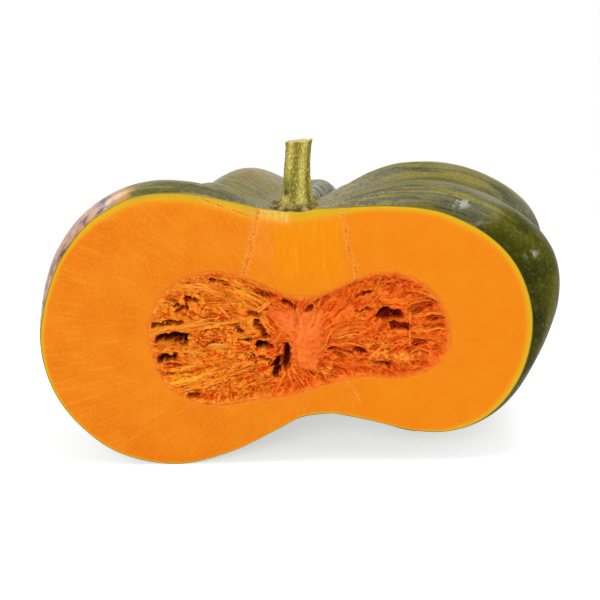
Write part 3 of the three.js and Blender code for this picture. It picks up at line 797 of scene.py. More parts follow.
# Where the pulp breaks into chunks: x, z, half width, half height and how strongly.
CHUNKY = [(57, 77, 19, 8.5, 1.0), (-63, 94, 20, 16, 0.7), (14, 64, 9, 5, 0.9), (-36, 76, 11, 14, 0.7)]
# The left lobe ends and the right one begins here. Their fibres run towards a pole beyond the core, and how
# far apart they are is true at the radius that follows.
LOBES_MEET = -6.0
LEFT_POLE, RIGHT_POLE = (32.0, 86.0), (-12.0, 79.0)
LEFT_RADIUS, RIGHT_RADIUS = 80.0, 55.0
# The grid of the pulp's face, from left to right and from bottom to top. A back this far behind it closes it.
PULP_WIDE, PULP_TALL = (-106, 99), (38, 142)
PULP_BACK = 78.0
# How far outside the cavity's edge the pulp's face goes on, buried in the flesh.
BURIED_EDGE = 2.6
# The darkest and the palest that a colour may be.
DARKEST, PALEST = 0.001, 0.98


def broad_hollows(x, z):
    return sum(deep * spot(x, z, place) for *place, deep in HOLLOWS)


def gaps_between(x, z):
    """Depth of the gaps, which have steep, ragged sides, and how much painted shade they get."""
    wx = x + 1.5 * noise(x / 4, z / 3, seed=28) + 0.8 * noise(x / 1.4, z / 1.1, seed=29)
    wz = z + 1.3 * noise(x / 6, z / 3, seed=30) + 0.9 * noise(x / 2.2, z / 1.2, seed=31)
    across, along = grain_place(x, z)
    comb = 0.7 * noise(across / 0.9, along / 7, seed=49)
    depth, gap_shade = np.zeros(np.shape(x)), np.zeros(np.shape(x))
    for x0, z0, x1, z1, half_width, deep in GAPS:
        near = (distance_to_line(wx, wz, [(x0, z0), (x1, z1)]) + comb) / half_width
        inside = 1 - smooth(near, 0.55, 1.15)
        # The gaps of the right lobe are shallow, and light falls into them.
        deepness = 0.32 if x0 > 5 else 0.9
        depth = np.maximum(depth, deepness * deep * inside)
        # Painted shade: the deeper gaps are painted nearly black.
        gap_shade = np.maximum(gap_shade, smooth(deep, 3, 14) * smooth(inside, 0.05, 0.4))
    return depth, gap_shade


def lump_height(x, z):
    wx = x + 1.1 * noise(x / 2.6, z / 2.6, seed=32)
    wz = z + 1.1 * noise(x / 2.2, z / 2.2, seed=33)
    return np.max([tall * np.exp(-(((wx - cx) / wide) ** 2 + ((wz - cz) / high) ** 2) ** 1.6)
                   for cx, cz, wide, high, tall in LUMPS], axis=0)


def seed_mounds(x, z):
    """Pulp that lies over the seeds. The first seed has none, so it shows whole."""
    height = np.zeros(np.shape(x))
    for cx, cz, roll in COVERED_SEEDS:
        turn = math.radians(roll)
        along = (x - cx) * math.cos(turn) + (z - cz) * math.sin(turn)
        aside = (z - cz) * math.cos(turn) - (x - cx) * math.sin(turn)
        height = np.maximum(height, 2.3 * np.exp(-((along / 7) ** 2 + (aside / 2.6) ** 2) ** 1.5))
    return height


def edge_distance(x, z):
    """How far inside the edge of the cavity a place is, towards the core. Negative is outside."""
    edge_x, edge_z = (cut_loop(np.linspace(0, 1, 400))[1] - CORE).T
    direction, radius = np.arctan2(edge_z, edge_x), np.hypot(edge_x, edge_z)
    order = np.argsort(direction)
    dx, dz = x - CORE[0], z - CORE[1]
    edge = np.interp(np.arctan2(dz, dx), direction[order], radius[order], period=2 * np.pi)
    return edge - np.hypot(dx, dz)


def grain_pole(x):
    """Whether each place is in the left lobe, and the pole that its fibres run towards."""
    to_left = x < LOBES_MEET
    return (to_left, *(np.where(to_left, left, right) for left, right in zip(LEFT_POLE, RIGHT_POLE)))


def grain_place(x, z):
    """Across and along the grain, in millimetres."""
    to_left, pole_x, pole_z = grain_pole(x)
    ax, az = np.abs(x - pole_x), z - pole_z
    bend = 0.05 * noise(x / 15, z / 15, seed=21) + 0.02 * noise(x / 5, z / 5, seed=22)
    across = np.where(to_left, LEFT_RADIUS, RIGHT_RADIUS) * (np.arctan2(az, ax) + bend)
    # The lobes are kept far apart across the grain, so that their fibres differ.
    return across + np.where(to_left, 400.0, 0.0), np.hypot(ax, az)


def fan_share(x, z):
    """1 on the smooth membrane at the core, 0 away from it."""
    left = np.interp(z, FAN_HEIGHTS, FAN_LEFT) + 1.6 * rough_noise(x / 4, z / 4, seed=34)
    right = np.interp(z, FAN_HEIGHTS, FAN_RIGHT) + 1.6 * rough_noise(x / 4, z / 4, seed=35)
    tall = smooth(z, 63, 69) * (1 - smooth(z, 104, 112))
    return smooth(x - left, -1, 2.5) * smooth(right - x, -1, 2.5) * tall


def sheet_share(x, z, sheet, rise):
    """1 on a smooth sheet that slants."""
    return spot(x, z - rise * (x - sheet[0]), sheet, power=4)


def sheet_shares(x, z):
    """How much each place is on the sheet that sweeps up to the right, and on the flap that hangs."""
    return sheet_share(x, z, SWEPT_SHEET, SWEPT_RISE), sheet_share(x, z, FLAP, FLAP_RISE)


def membrane_share(x, z):
    """1 on the smooth membrane and sheets, 0 on torn fibres."""
    return np.maximum(fan_share(x, z), 0.85 * np.maximum(*sheet_shares(x, z)))


def flakes(across, along, seed):
    """Torn flakes as cells: a number from -1 to 1 for each flake, and how near its border a place is."""
    column, row = np.floor(across), np.floor(along)
    nearest, second = np.full(across.shape, 9.0), np.full(across.shape, 9.0)
    own = np.zeros(across.shape)
    for dx, dy in np.ndindex(3, 3):
        cell_x, cell_y = (column + dx - 1).astype(np.int64), (row + dy - 1).astype(np.int64)
        centre_x, centre_y = (cell + 0.5 + 0.45 * lattice(cell_x, cell_y, axis, seed)
                              for axis, cell in enumerate((cell_x, cell_y)))
        far = np.hypot(across - centre_x, along - centre_y)
        second = np.minimum(second, np.maximum(far, nearest))
        own = np.where(far < nearest, lattice(cell_x, cell_y, 2, seed), own)
        nearest = np.minimum(nearest, far)
    return np.array([own, 1 - smooth(second - nearest, 0.0, 0.30)])


def chunks(x, z):
    """How chunky each place is, a number from -1 to 1 for each chunk, and how near its border a place is."""
    chunky = np.max([strong * spot(x, z, place, power=4) for *place, strong in CHUNKY], axis=0)
    wx = x / 4.4 + 0.4 * noise(x / 2, z / 2, seed=46)
    wz = z / 3.4 + 0.4 * noise(x / 2, z / 2, seed=47)
    return chunky * (1 - membrane_share(x, z)), *flakes(wx, wz, seed=48)


def flake_relief(x, z, across, along):
    """Height of the torn flakes, from -1 to 1, and how near their borders a place is."""
    wx = across + 1.3 * noise(x / 3, z / 3, seed=41)
    wz = along + 1.6 * noise(x / 2.4, z / 2.4, seed=42)
    short = smooth(noise(x / 13, z / 11, seed=45) + 0.35 * (x < -20), -0.2, 0.3)
    return lerp(flakes(wx / 3.4, wz / 12, seed=43), flakes(wx / 3.0, wz / 4.2, seed=44), short)


def fibre_relief(x, z, across, along, rough):
    """Depth of the fibrous relief, and how much of a crest each place is, from 0 to 1."""
    bundle = 1 - np.abs(noise(across / 4.2, along / 30, seed=23))
    strand = 1 - np.abs(noise(across / 1.9, along / 17, seed=24))
    hair = 1 - np.abs(noise(across / 0.95, along / 9, seed=25))
    crumbs = rough_noise(x / 1.8, z / 1.5, seed=26)
    folds = noise(across / 8.5, along / 36, seed=36)
    relief = 0.7 - bundle + 0.72 - strand + 0.65 * (0.7 - hair) - 0.6 * crumbs + 0.8 * folds
    return relief * rough, 0.28 * bundle + 0.36 * strand + 0.36 * hair + 0.22 * crumbs * rough


def pulp_surface(x, z):
    """Depth of the pulp's face, how much of a crest each place is (0 to 1) and how much painted gap shade it
    gets.
    """
    inside = edge_distance(x, z)
    fan, (swept, flap) = fan_share(x, z), sheet_shares(x, z)
    sheets = np.maximum(swept, flap)
    rough = (1 - 0.94 * fan) * (1 - 0.55 * sheets)
    across, along = grain_place(x, z)
    across = across + 0.9 * noise(x / 6, z / 6, seed=20)
    relief, crest = fibre_relief(x, z, across, along, rough)
    torn = noise(across / 1.7, along / 7, seed=27) + 0.35 * noise(x / 2.2, z / 1.7, seed=18)
    torn = smooth(torn + 0.2 * (1 - smooth(inside, 4, 34)), 0.42, 0.72) * rough * smooth(inside, 0.5, 4)
    height, border = flake_relief(x, z, across, along)
    flaky = rough * (1 - 0.8 * sheets)
    chunky, chunk_height, chunk_border = chunks(x, z)
    relief = relief + (0.7 * border - height) * flaky + (1.3 * chunk_border - 1.7 * chunk_height) * chunky
    # Borders between flakes and chunks count as less of a crest, so that pulp_tint paints shade into them.
    crest = crest + (0.1 * height - 0.3 * border) * flaky
    crest = crest + (0.16 * chunk_height - 0.5 * chunk_border) * chunky
    gaps, gap_shade = gaps_between(x, z)
    off_edge = smooth(inside, 0.2, 2.0)
    ripple = 0.09 * np.sin(2 * np.pi * (z + 0.8 * noise(x / 6, z / 3, seed=37)) / 1.5) * fan
    depth = PULP_DEPTH + broad_hollows(x, z) + relief + 1.6 * torn - 1.4 * fan - 1.6 * flap + ripple
    lumpy = 0.72 + 0.65 * rough_noise(x / 1.5, z / 1.2, seed=19)
    depth = depth - lump_height(x, z) * lumpy - seed_mounds(x, z)
    depth = lerp(0.75 + 0.5 * relief, depth, smooth(inside, -0.5, 8)) + gaps * off_edge
    depth = depth - 0.9 * np.minimum(inside, 0)
    return np.maximum(depth, 0.25), np.clip(crest - 0.5 * torn, 0, 1), gap_shade * off_edge


def pulp_tint(x, z, crest, gap_shade):
    """Colour of the pulp: yellower on the left, redder on the right, salmon at the core, with painted shade in
    the gaps and valleys and painted glisten on the crests.
    """
    inside = edge_distance(x, z)
    left = 1 - smooth(x, -36, -14)
    blotch = rough_noise(x / 9, z / 6, seed=38)
    fan, (swept, flap) = fan_share(x, z), sheet_shares(x, z)
    calm = 1 - 0.85 * fan
    chunky, chunk_height, _ = chunks(x, z)
    seedbed = spot(x, z, (-63, 92, 20, 20))
    painted_glisten = smooth(noise(x / 1.1, z / 0.8, seed=50), 0.15, 0.6) * smooth(crest, 0.45, 0.7) * (1 - fan)
    valley_shade = (1 - smooth(crest, 0.34, 0.68)) * smooth(inside, -1, 5)

    def over(tint, colour, share):
        return lerp(tint, colour, share[..., None])

    yellow = np.array([0.98, 0.325, 0.016]) + blotch[..., None] * [0.01, 0.08, 0.008]
    red = np.array([0.98, 0.205, 0.014]) + blotch[..., None] * [0.02, 0.05, 0.005]
    tint = over(red, yellow, left)
    for colour, share in (([0.90, 0.17, 0.010], 0.8 * swept),
                          ([0.96, 0.37, 0.030], 0.9 * seedbed * smooth(blotch, -0.3, 0.5)),
                          ([0.97, 0.235, 0.016], 0.85 * flap),
                          ([0.98, 0.26, 0.020], smooth(lump_height(x, z), 1, 4)),
                          ([0.98, 0.36, 0.035], 0.8 * chunky * smooth(chunk_height, -0.3, 0.5)),
                          ([0.98, 0.31, 0.025], 0.6 * smooth(seed_mounds(x, z), 0.6, 2.0)),
                          ([0.97, 0.235, 0.034], fan),
                          ([0.95, 0.25, 0.022], 0.8 * (1 - smooth(inside, 0, 5)))):
        tint = over(tint, colour, share)
    # Painted shade: places that are less of a crest are darkened towards deep red.
    tint = over(tint, tint * [0.72, 0.15, 0.04], 0.92 * valley_shade * calm)
    tint = tint * (1 + 0.06 * noise(x / 1.6, z / 1.6, seed=39) * calm)[..., None]
    # Painted highlights: pale glisten on wet crests, more on the left.
    tint = over(tint, [0.99, 0.46, 0.07], (0.22 + 0.26 * left) * painted_glisten)
    # Painted shade in the gaps: first redder, then nearly black.
    tint = over(tint, tint * [0.80, 0.22, 0.12], smooth(gap_shade, 0.0, 0.4))
    return np.clip(over(tint, [0.030, 0.003, 0.002], 0.97 * gap_shade), DARKEST, PALEST)


def closed_relief(x, y, z, used):
    """Points and faces of a relief over a grid, closed by a wall straight back from its edge and a back."""
    kept, faces = np.unique(grid_faces(*x.shape, flip=True)[used.ravel()], return_inverse=True)
    faces = faces.reshape(-1, 4)
    points = np.stack([x, y, z], axis=-1).reshape(-1, 3)[kept]
    edges = np.stack([faces, np.roll(faces, -1, axis=1)], axis=-1).reshape(-1, 2)
    keys = edges.min(1) * len(points) + edges.max(1)
    _, where, counts = np.unique(keys, return_index=True, return_counts=True)
    border = edges[where[counts == 1]]
    ring, flat = np.unique(border, return_inverse=True)
    flat = flat.reshape(-1, 2) + len(points)
    back = points[ring] * [1, 0, 1] + [0, PULP_BACK, 0]
    apex = len(points) + len(back)
    points = np.concatenate([points, back, [[CORE[0], PULP_BACK + 2, CORE[1]]]])
    wall = np.concatenate([border[:, ::-1], flat], axis=1)
    cap = [[q, p, apex] for p, q in flat.tolist()]
    return points, faces.tolist() + wall.tolist() + cap, kept, ring


def local_mean(values, reach):
    """Mean over a square of places on either side of each place on a grid."""
    for axis in (0, 1):
        pad = [(reach + 1, reach) if k == axis else (0, 0) for k in (0, 1)]
        total = np.cumsum(np.pad(values, pad, mode="edge"), axis=axis)
        count, width = values.shape[axis], 2 * reach + 1
        upper, lower = (np.take(total, np.arange(start, start + count), axis) for start in (width, 0))
        values = (upper - lower) / width
    return values


def pulp_bed():
    """The face of the pulp as a fine relief. Its edge is buried in the flesh round the cavity."""
    step = 0.42
    x, z = np.meshgrid(np.arange(*PULP_WIDE, step), np.arange(*PULP_TALL, step), indexing="ij")
    depth, crest, gap_shade = pulp_surface(x, z)
    # Places sunk below their surroundings count as less of a crest, so that pulp_tint paints shade into them.
    hollow = depth - local_mean(local_mean(depth, round(2.0 / step)), round(1.2 / step))
    crest = crest - 0.28 * np.clip(hollow, -0.8, 1.6)
    inside = edge_distance(x, z) > -BURIED_EDGE
    used = inside[:-1, :-1] & inside[1:, :-1] & inside[:-1, 1:] & inside[1:, 1:]
    points, faces, kept, ring = closed_relief(x, depth, z, used)
    tint = pulp_tint(x, z, crest, gap_shade).reshape(-1, 3)[kept]
    tint = np.concatenate([tint, tint[ring], tint[:1]])
    new_piece("pulp_face", points, faces, [pulp_look("pulp")], {"tint": tint}, nodes=("pulp",))


def twisted_frame(centre, rng, roll, share):
    """Directions across and through each fibre, which turn along it."""
    tangent = np.gradient(centre, axis=1)
    tangent /= np.linalg.norm(tangent, axis=-1, keepdims=True) + 1e-9
    side = np.cross(tangent, [0.0, 1.0, 0.0])
    side /= np.linalg.norm(side, axis=-1, keepdims=True) + 1e-9
    forward = np.cross(side, tangent)
    count = len(centre)
    twist = roll * (rng.uniform(-1.4, 1.4, (count, 1)) + rng.normal(0, 0.9, (count, 1)) * share)
    twist = twist[..., None]
    return side * np.cos(twist) + forward * np.sin(twist), forward * np.cos(twist) - side * np.sin(twist)


def fibres(paths, half_width, flatness, lift, rng, sides=4, paler=0.0, roll=1.0):
    """Points, faces and tints of tapered fibres. Their paths are fibre by station by (x, z)."""
    count, stations = paths.shape[:2]
    px, pz = np.moveaxis(paths, -1, 0)
    share = np.linspace(0, 1, stations)[None]
    arc = np.sin(np.pi * share)
    depth, _, gap_shade = pulp_surface(px, pz)
    for _ in range(3):
        depth[:, 1:-1] = (depth[:, :-2] + depth[:, 1:-1] + depth[:, 2:]) / 3
    py = depth - lift[:, None] * arc + 0.8 * (1 - arc) ** 2
    centre = np.stack([px, np.maximum(py, 0.3 + 0.3 * (1 - arc)), pz], axis=-1)
    across, through = twisted_frame(centre, rng, roll, share)
    ragged = 1 + 0.4 * rng.uniform(-1, 1, (count, stations))
    wide = (half_width[:, None] * (0.15 + 0.85 * arc ** 0.5) * ragged)[..., None, None]
    turn = np.linspace(0, 2 * np.pi, sides, endpoint=False)[:, None]
    through = through[:, :, None] * np.sin(turn) * flatness[:, None, None, None]
    points = centre[:, :, None] + (across[:, :, None] * np.cos(turn) + through) * wide
    points[..., 1] = np.maximum(points[..., 1], 0.1)
    tone = rng.uniform(0.92, 1.08, (count, 1, 1)) * (1 + rng.normal(0, 0.04, (count, stations, 1)))
    # Fibres take 0.35 of the painted gap shade below them, and are tinted as crests.
    tint = pulp_tint(px, pz, np.full(px.shape, 0.72), 0.35 * gap_shade) * tone
    tint[..., 1] *= rng.uniform(0.75, 1.15, (count, 1))
    tint = np.clip(lerp(tint, [0.98, 0.36, 0.04], paler), DARKEST, PALEST)
    starts = (np.arange(count) * stations * sides)[:, None, None]
    caps = np.array([np.arange(sides)[::-1], (stations - 1) * sides + np.arange(sides)])
    faces = (grid_faces(stations, sides, closed=True) + starts).reshape(-1, 4).tolist()
    faces += (caps + starts).reshape(-1, sides).tolist()
    return points.reshape(-1, 3), faces, np.repeat(tint.reshape(-1, 3), sides, axis=0)


def join_fibres(name, groups, material):
    points, faces, tints = zip(*groups)
    firsts = np.cumsum([0] + [len(group) for group in points]).tolist()
    faces = [[corner + first for corner in face] for group, first in zip(faces, firsts) for face in group]
    new_piece(name, np.concatenate(points), faces, [material], {"tint": np.concatenate(tints)})


def scattered_fibres(region, seed, count, half_widths, flatness, lengths, lift, stations, start, unruly):
    """Fibres at chance places that follow the grain."""
    rng = np.random.default_rng(SEED + seed)
    x = rng.uniform(*region[:2], 14 * count)
    z = rng.uniform(*region[2:], 14 * count)
    inside = edge_distance(x, z)
    bare = np.maximum(0.97 * membrane_share(x, z), 0.6 * chunks(x, z)[0])
    wanted = (inside > start[0]) & (inside < start[1]) & (rng.uniform(0, 1, len(x)) > bare)
    x, z = x[wanted][:count], z[wanted][:count]
    count = len(x)
    step = rng.uniform(*lengths, count) / (stations - 1)
    slope = rng.normal(0, unruly, count)
    bend = rng.normal(0, unruly / 4, count)
    path = [(x, z)]
    for station in range(1, stations):
        _, pole_x, pole_z = grain_pole(x)
        heading = np.arctan2(pole_z - z, pole_x - x)
        heading = heading + slope + bend * station + 0.5 * noise(x / 7, z / 7, seed=seed + 40)
        x = x + np.cos(heading) * step
        z = z + np.sin(heading) * step
        path.append((x, z))
    half_width = lerp(*half_widths, rng.uniform(0, 1, count) ** 2.5)
    return fibres(np.transpose(path, (2, 0, 1)), half_width, rng.uniform(*flatness, count),
                  rng.uniform(*lift, count), rng, sides=3)


# Single strands that show: half width, how far they stand out, and the three places (x, z) that they pass.
STRANDS = [
    (1.4, 2, -101, 94, -81, 99, -62, 101), (1.1, 2.2, -98, 97, -78, 99, -54, 101),
    (1, 2, -72, 96, -52, 100, -40, 101), (1, 2, -104, 62, -88, 67, -67, 71),
    (1.2, 1.6, -99, 58, -80, 60, -58, 66), (1, 1.6, -92, 52, -72, 55, -50, 62),
    (1.2, 2, -86, 126, -66, 127, -53, 119), (0.9, 2, -66, 134, -58, 127, -50, 122),
    (1.3, 2.6, -48, 131, -33, 124, -17, 116), (1.2, 2.4, -50, 127, -34, 120, -20, 111),
    (1, 2.6, -44, 124, -32, 115, -22, 104), (0.8, 3.6, -33, 106, -25, 112, -17, 119),
    (0.9, 3, -30, 107, -26, 99, -20, 92), (0.7, 2.6, -27, 108, -23, 99, -17, 90),
    (0.5, 3, 69, 109, 70, 99, 69, 79), (0.6, 3, 69, 101, 82, 103, 94, 105),
    (0.8, 2.4, 66, 120, 80, 120, 90, 114), (0.8, 2.6, 70, 92, 83, 93, 95, 94),
    (0.3, 3, 55, 96, 61, 100, 66, 102), (0.3, 3, 58, 91, 65, 96, 68, 99), (0.5, 2, -95, 87, -91, 91, -88, 95),
    (0.4, 2, -86, 88, -80, 90, -76, 91), (0.5, 2.2, 46, 119, 49, 124, 52, 130),
    (0.6, 2, 44, 121, 56, 126, 68, 128), (0.8, 2.4, -13, 95, -19, 88, -28, 86),
    (0.9, 2.8, -10, 84, -15, 79, -19, 71), (0.7, 2.2, 13, 80, 17, 92, 24, 97),
    (0.9, 1.8, 16, 88, 30, 90, 44, 93), (0.8, 2, 16, 84, 30, 83, 46, 77), (0.8, 2, 17, 79, 28, 77, 38, 73),
    (0.7, 2.4, 10, 79, 14, 85, 18, 92), (0.9, 2.4, -21, 51, -15, 62, -11, 71),
    (0.9, 2.4, -9, 53, -11, 62, -12, 72), (0.7, 2.4, -1, 54, -6, 62, -10, 71),
    (0.7, 2, -17, 119, -22, 115, -28, 109), (0.5, 2, -14, 82, -11, 79, -6, 78),
    (0.7, 2, 75, 86, 83, 84, 93, 86), (0.7, 2, -8, 118, -4, 110, -3, 104), (0.6, 2, 6, 117, 8, 110, 7, 103),
    (0.6, 2, 14, 120, 11, 113, 10, 105), (0.8, 2, -96, 80, -80, 81, -66, 80),
    (0.7, 2, -90, 73, -82, 74, -70, 77),
]
# Each strand comes three times: how far aside, and how thick.
STRAND_COPIES = [(0.0, 1.0), (1.3, 0.55), (-1.4, 0.45)]
# Kinds of scattered fibres: how many, half widths, flatness, lengths, how far they stand out, stations, how
# far inside the cavity's edge they start, and how unruly they are.
FIBRES = [
    (900, (0.13, 0.32), (0.5, 1.0), (7, 22), (0.1, 1.1), 9, (0.5, 99.0), 0.17),
    (260, (0.3, 0.7), (0.3, 0.6), (6, 16), (0.1, 1.2), 9, (0.5, 99.0), 0.17),
    (900, (0.12, 0.26), (0.5, 1.0), (3, 8), (0.3, 1.4), 6, (-1.6, 99.0), 0.8),
    (420, (0.14, 0.4), (0.5, 1.0), (3, 8), (0.2, 1.2), 6, (-1.8, 2.5), 0.5),
]
# Where they are scattered: a box in the cut (left, right, bottom, top), and what is added to the random seeds.
SIDES = [("left", (-103, -4, 42, 139), 0), ("right", (0, 96, 56, 134), 10)]


def chosen_strands():
    rng = np.random.default_rng(SEED)
    count = len(STRANDS)
    width, out = np.array([strand[:2] for strand in STRANDS]).T
    paths = np.array([spline(np.reshape(strand[2:], (3, 2)), np.linspace(0, 1, 26)) for strand in STRANDS])
    groups = []
    for copy, (aside, thin) in enumerate(STRAND_COPIES):
        wobble = rng.normal(0, 1, (count, 1, 2)) * 0.4 * copy
        bend = 0.9 * noise(*np.moveaxis(paths / 4, -1, 0), seed=60 + copy)
        moved = paths + wobble + np.stack([0.3 * bend, aside + bend], axis=-1)
        groups.append(fibres(moved, width * thin, rng.uniform(0.25, 0.5, count), out * (1 - 0.2 * copy), rng,
                             paler=0.12, roll=0.45))
    return groups


def pulp():
    pulp_bed()
    fibre = pulp_look("fibre")
    few = 1.0
    join_fibres("strands", chosen_strands(), fibre)
    for side, region, seed in SIDES:
        groups = [scattered_fibres(region, seed + number, int(count * few), *kind)
                  for number, (count, *kind) in enumerate(FIBRES, start=1)]
        join_fibres(f"fibres_{side}", groups, fibre)


# ---------------------------------------------------------------- seeds

SEED_SIZE = (15.0, 3.0, 8.6)
# roll, nod and flat of each seed in degrees, as in the part.
SEED_TURNS = [(8, 8, 38), (-12, 4, 70), (-38, 30, 60), (22, 26, 50), (-42, 24, 62), (-4, 18, 30),
              (10, 12, 45), (-8, 12, 55), (34, 6, 78), (14, 16, 50), (40, 8, 75), (62, 6, 82),
              (50, 18, 60), (-20, 16, 66)]
# The first two seeds have clean coats. The pulp has stained the others.
CLEAN_SEEDS = 2


def seed_shape(rings=20, sides=28):
    """A flat almond, pointed at +X: its points, how near its raised edge each is, and its faces."""
    along = np.cos(np.linspace(np.pi, 0, rings + 2))[1:-1, None]
    turn = np.linspace(0, 2 * np.pi, sides, endpoint=False)[None]
    girth = np.sqrt(1 - along ** 2) * (1 - 0.3 * along - 0.12 * along ** 2)
    wide = np.cos(turn)
    thick = np.sin(turn) * (0.8 + 0.45 * hill(np.abs(wide), 0.86, 0.2))
    length, thickness, width = SEED_SIZE
    points = np.stack([along * length / 2 + 0 * wide, girth * thick * thickness / 2,
                       girth * wide * width / 2], axis=-1)
    tips = [[-length / 2, 0, 0], [length / 2, 0, 0]]
    edge = np.append(np.tile(np.abs(wide[0]) ** 3, rings), [1, 1])
    return np.concatenate([points.reshape(-1, 3), tips]), edge, tube_faces(rings, sides)


def seeds():
    clean, stained = seed_look("seed", 0.0), seed_look("stained_seed", 0.75)
    shape, edge, faces = seed_shape()
    for number, (roll, nod, flat) in enumerate(SEED_TURNS, start=1):
        node = f"seed_{number:02d}"
        middle = np.mean(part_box(node), axis=0) / MM - SHIFT
        turn = (Matrix.Rotation(math.radians(-roll), 3, "Y") @ Matrix.Rotation(math.radians(-nod), 3, "Z")
                @ Matrix.Rotation(math.radians(flat), 3, "X"))
        points = shape @ np.array(turn).T
        points = points - (points.min(0) + points.max(0)) / 2 + middle
        look = clean if number <= CLEAN_SEEDS else stained
        new_piece(f"{node}_skin", points, faces, [look], {"edge": edge}, nodes=(node,))


# ---------------------------------------------------------------- the stem

STEM_AXIS = (-1.0, 10.0)
# The stem's foot is this low in the flesh, and its bark starts above it.
STEM_FOOT, STEM_TOP, BARK_START = 170.0, 220.5, 6.0
# The top leans to the right, and slants: it is high on the side at STEM_HIGH_SIDE radians.
STEM_LEAN, STEM_SLOPE, STEM_HIGH_SIDE = 3.5, 1.4, -1.25
STEM_RIDGES, STEM_TWIST = 5, 0.35
# Heights above the foot, and the stem's radius there as a share of STEM_RADIUS.
STEM_RADIUS = 8.2
STEM_PROFILE = [(0, 0.95), (6, 1.2), (8, 1.85), (9.2, 2.05), (10.6, 1.5), (12.5, 1.22), (20, 1.09), (30, 1.0),
                (40, 0.96), (46, 0.97), (50.5, 1.02)]
# The rings of the stem's torn end, as shares of its top ring.
STEM_END_RINGS = (0.88, 0.7, 0.5, 0.3, 0.12)


def stem_radius(level):
    """The smooth stem's radius at each level above its foot."""
    heights, radii = np.array(STEM_PROFILE).T
    upper = np.clip(np.searchsorted(heights, level), 1, len(heights) - 1)
    local = smooth((level - heights[upper - 1]) / (heights[upper] - heights[upper - 1]))
    return STEM_RADIUS * lerp(radii[upper - 1], radii[upper], local)


def stem():
    """A ridged, warty column with a frilled foot and a torn, slanting top."""
    sides, levels = 200, 190
    tall = STEM_TOP - STEM_FOOT
    level = np.linspace(BARK_START, tall, levels)[:, None]
    turn = np.linspace(0, 2 * np.pi, sides, endpoint=False)[None]
    share = level / tall
    wave = np.cos(STEM_RIDGES * (turn - STEM_TWIST * share))
    ridge = 0.11 * (1 - 1.5 * np.abs(wave) ** 1.5 * (wave < 0) - 0.5 * (1 - wave) * (wave >= 0))
    at = 8 * np.cos(turn), 8 * np.sin(turn)
    frilled = 0.16 * np.exp(-((level - 10) / 3.5) ** 2)
    frill = frilled * rough_noise(at[0] / 1.6, at[1] / 1.6, level / 6, seed=51)
    grooves = 0.025 * noise(at[0] * 1.6, at[1] * 1.6, level / 14, seed=52)
    cell = noise(at[0] * 1.5, at[1] * 1.5, level * 1.1, seed=53)
    wart = smooth(cell, 0.35, 0.75) * smooth(wave, -0.4, 0.6)
    radius = stem_radius(level) * (0.93 + ridge + frill + grooves) + 0.28 * wart
    slant = STEM_SLOPE * np.cos(turn - STEM_HIGH_SIDE) * smooth(share, 0.8, 1.0)
    torn = smooth(share, 0.975, 1.0) * 0.9 * rough_noise(at[0] / 3.4, at[1] / 3.4, seed=54)
    x = STEM_AXIS[0] + STEM_LEAN * share ** 2 + radius * np.cos(turn)
    y = np.maximum(STEM_AXIS[1] + radius * np.sin(turn), 0.0)
    z = np.minimum(STEM_FOOT + level + slant + torn, STEM_TOP + 0.95 * STEM_SLOPE)
    grid = list(np.stack([x, y, z], axis=-1))
    rim = grid[-1]
    for share_in in STEM_END_RINGS:
        ring = lerp(rim.mean(0), rim, share_in)
        ring[:, 2] -= 0.5 * (1 - share_in) + 0.35 * rough_noise(ring[:, 0], ring[:, 1], seed=55)
        grid.append(ring)
    points = np.concatenate(grid + [[grid[0].mean(0), grid[-1].mean(0)]])

    def over_all(value, end_value):
        """A value for each point of the column, and one for the points of its ends."""
        value = np.broadcast_to(value, (levels, sides))
        return np.concatenate([value.ravel(), np.full(len(points) - value.size, end_value)])

    from_front_left = np.degrees(np.arctan2(np.sin(turn + 2.3), np.cos(turn + 2.3)))
    knot = np.clip(1.3 * spot(from_front_left, level, (0, 19, 13, 2.4)), 0, 1)
    moss = 0.8 * spot(from_front_left, level, (0, 24, 26, 6))
    fresh = smooth(share, 0.985, 1.0)
    values = {"ridge": over_all(wave, 0), "level": over_all(level, 50), "wart": over_all(wart, 0.2),
              "knot": over_all(knot, 0), "moss": over_all(moss, 0), "torn": over_all(fresh, 1)}
    faces = tube_faces(len(grid), sides)
    new_piece("stem_bark", points, faces, [stem_look()], values, nodes=("stem",))


# ---------------------------------------------------------------- stage, lights and camera

FLOOR_COLOUR = (0.8, 0.8, 0.8)
FLOOR_FILL = 0.55
# The distances from the floor's middle, in metres, from which it fades to plain white and is plain.
FLOOR_FADE = (0.22, 0.55)
# The sky's light on the object. Where the sky itself is seen, its strength is 1.
SKY_STRENGTH = 0.44
# Name, place, size and power of each lamp, in metres and watts.
LAMPS = [("front_softbox", (-0.35, -1.75, 0.85), (1.1, 0.9), 16),
         ("top_softbox", (0.35, -0.1, 1.7), (0.7, 0.7), 9),
         ("right_softbox", (1.5, -0.7, 0.9), (0.4, 0.4), 2),
         ("back_softbox", (-0.9, 1.1, 0.75), (0.45, 0.3), 3)]
LAMPS_AIM_AT = (0, 0, 0.1)
# The camera's azimuth, elevation and roll in degrees, its distance and aim in millimetres, and how many
# millimetres a pixel of the photo covers there.
CAMERA_TURN = (5, 20, 3)
CAMERA_DISTANCE, CAMERA_AIMS_AT = 1000.0, (-1.2, 0.0, 116.8)
PIXEL_SIZE, PHOTO_PIXELS = 0.65, 600


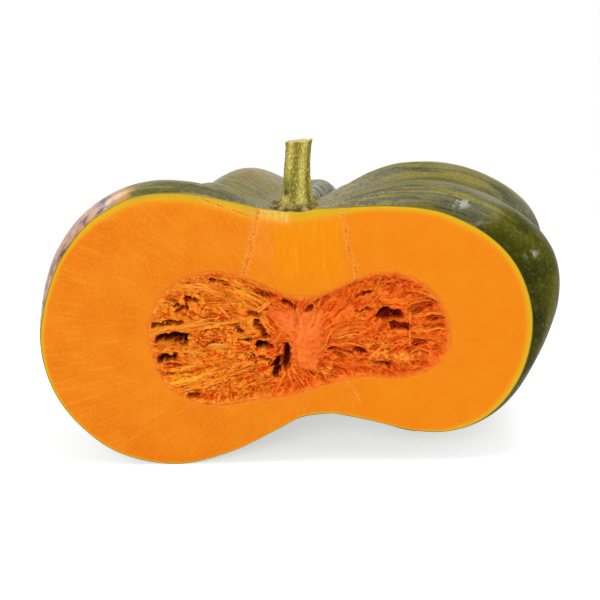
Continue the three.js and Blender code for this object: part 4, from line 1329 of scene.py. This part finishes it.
def floor_look():
    """A white floor that keeps soft shadows near the object and is plain white further off."""
    look = new_look("floor")
    seen = look.seen_directly()
    flat = look.stretched((1.0, 1.0, 0.0))
    plain = look.span(look.add("ShaderNodeVectorMath", {0: flat}, "Value", operation="LENGTH"), *FLOOR_FADE)
    fill = look.times(seen, look.span(plain, 0.0, 1.0, 1.0, FLOOR_FILL))
    glow = look.add("ShaderNodeEmission", {"Color": (1, 1, 1), "Strength": fill})
    look.finish(Base_Color=look.over(FLOOR_COLOUR, look.times(plain, seen), (0, 0, 0)), Roughness=0.9,
                Specular_IOR_Level=0.0)
    nodes = look.tree.nodes
    both = look.add("ShaderNodeAddShader", {0: nodes["Principled BSDF"].outputs[0], 1: glow})
    look.put(nodes["Material Output"].inputs["Surface"], both)
    return look.owner


def stage():
    bpy.ops.mesh.primitive_plane_add(size=12.0, location=(0, 0, -0.0002))
    floor = bpy.context.object
    floor.name = "floor"
    floor.data.materials.append(floor_look())


def lights():
    for name, place, size, power in LAMPS:
        data = bpy.data.lights.new(name, "AREA")
        data.shape = "RECTANGLE"
        data.size, data.size_y = size
        data.energy = power
        light = bpy.data.objects.new(name, data)
        light.location = place
        light.rotation_euler = (Vector(place) - Vector(LAMPS_AIM_AT)).to_track_quat("Z", "Y").to_euler()
        bpy.context.scene.collection.objects.link(light)
    sky = Look(bpy.data.worlds.new("studio"))
    bpy.context.scene.world = sky.owner
    background = sky.tree.nodes["Background"]
    sky.put(background.inputs["Color"], (1, 1, 1))
    strength = sky.add("ShaderNodeMapRange", {"Value": sky.seen_directly(), "To Min": SKY_STRENGTH})
    sky.put(background.inputs["Strength"], strength)


def camera():
    """Seen from 1 m, a little from the right and from above, and turned a little on its axis."""
    azimuth, elevation, roll = (math.radians(v) for v in CAMERA_TURN)
    turn = (Matrix.Rotation(azimuth, 4, "Z") @ Matrix.Rotation(math.pi / 2 - elevation, 4, "X")
            @ Matrix.Rotation(-roll, 4, "Z"))
    data = bpy.data.cameras.new("camera")
    data.sensor_width = 36.0
    data.lens = data.sensor_width * CAMERA_DISTANCE / (PIXEL_SIZE * PHOTO_PIXELS)
    seen_from = bpy.data.objects.new("camera", data)
    back_off = Matrix.Translation((0, 0, CAMERA_DISTANCE * MM))
    seen_from.matrix_world = Matrix.Translation(to_row(CAMERA_AIMS_AT)) @ turn @ back_off
    bpy.context.scene.collection.objects.link(seen_from)
    bpy.context.scene.camera = seen_from


camera()
half_fruit()
pulp()
seeds()
stem()
stage()
lights()
bpy.context.scene.view_settings.view_transform = "Standard"
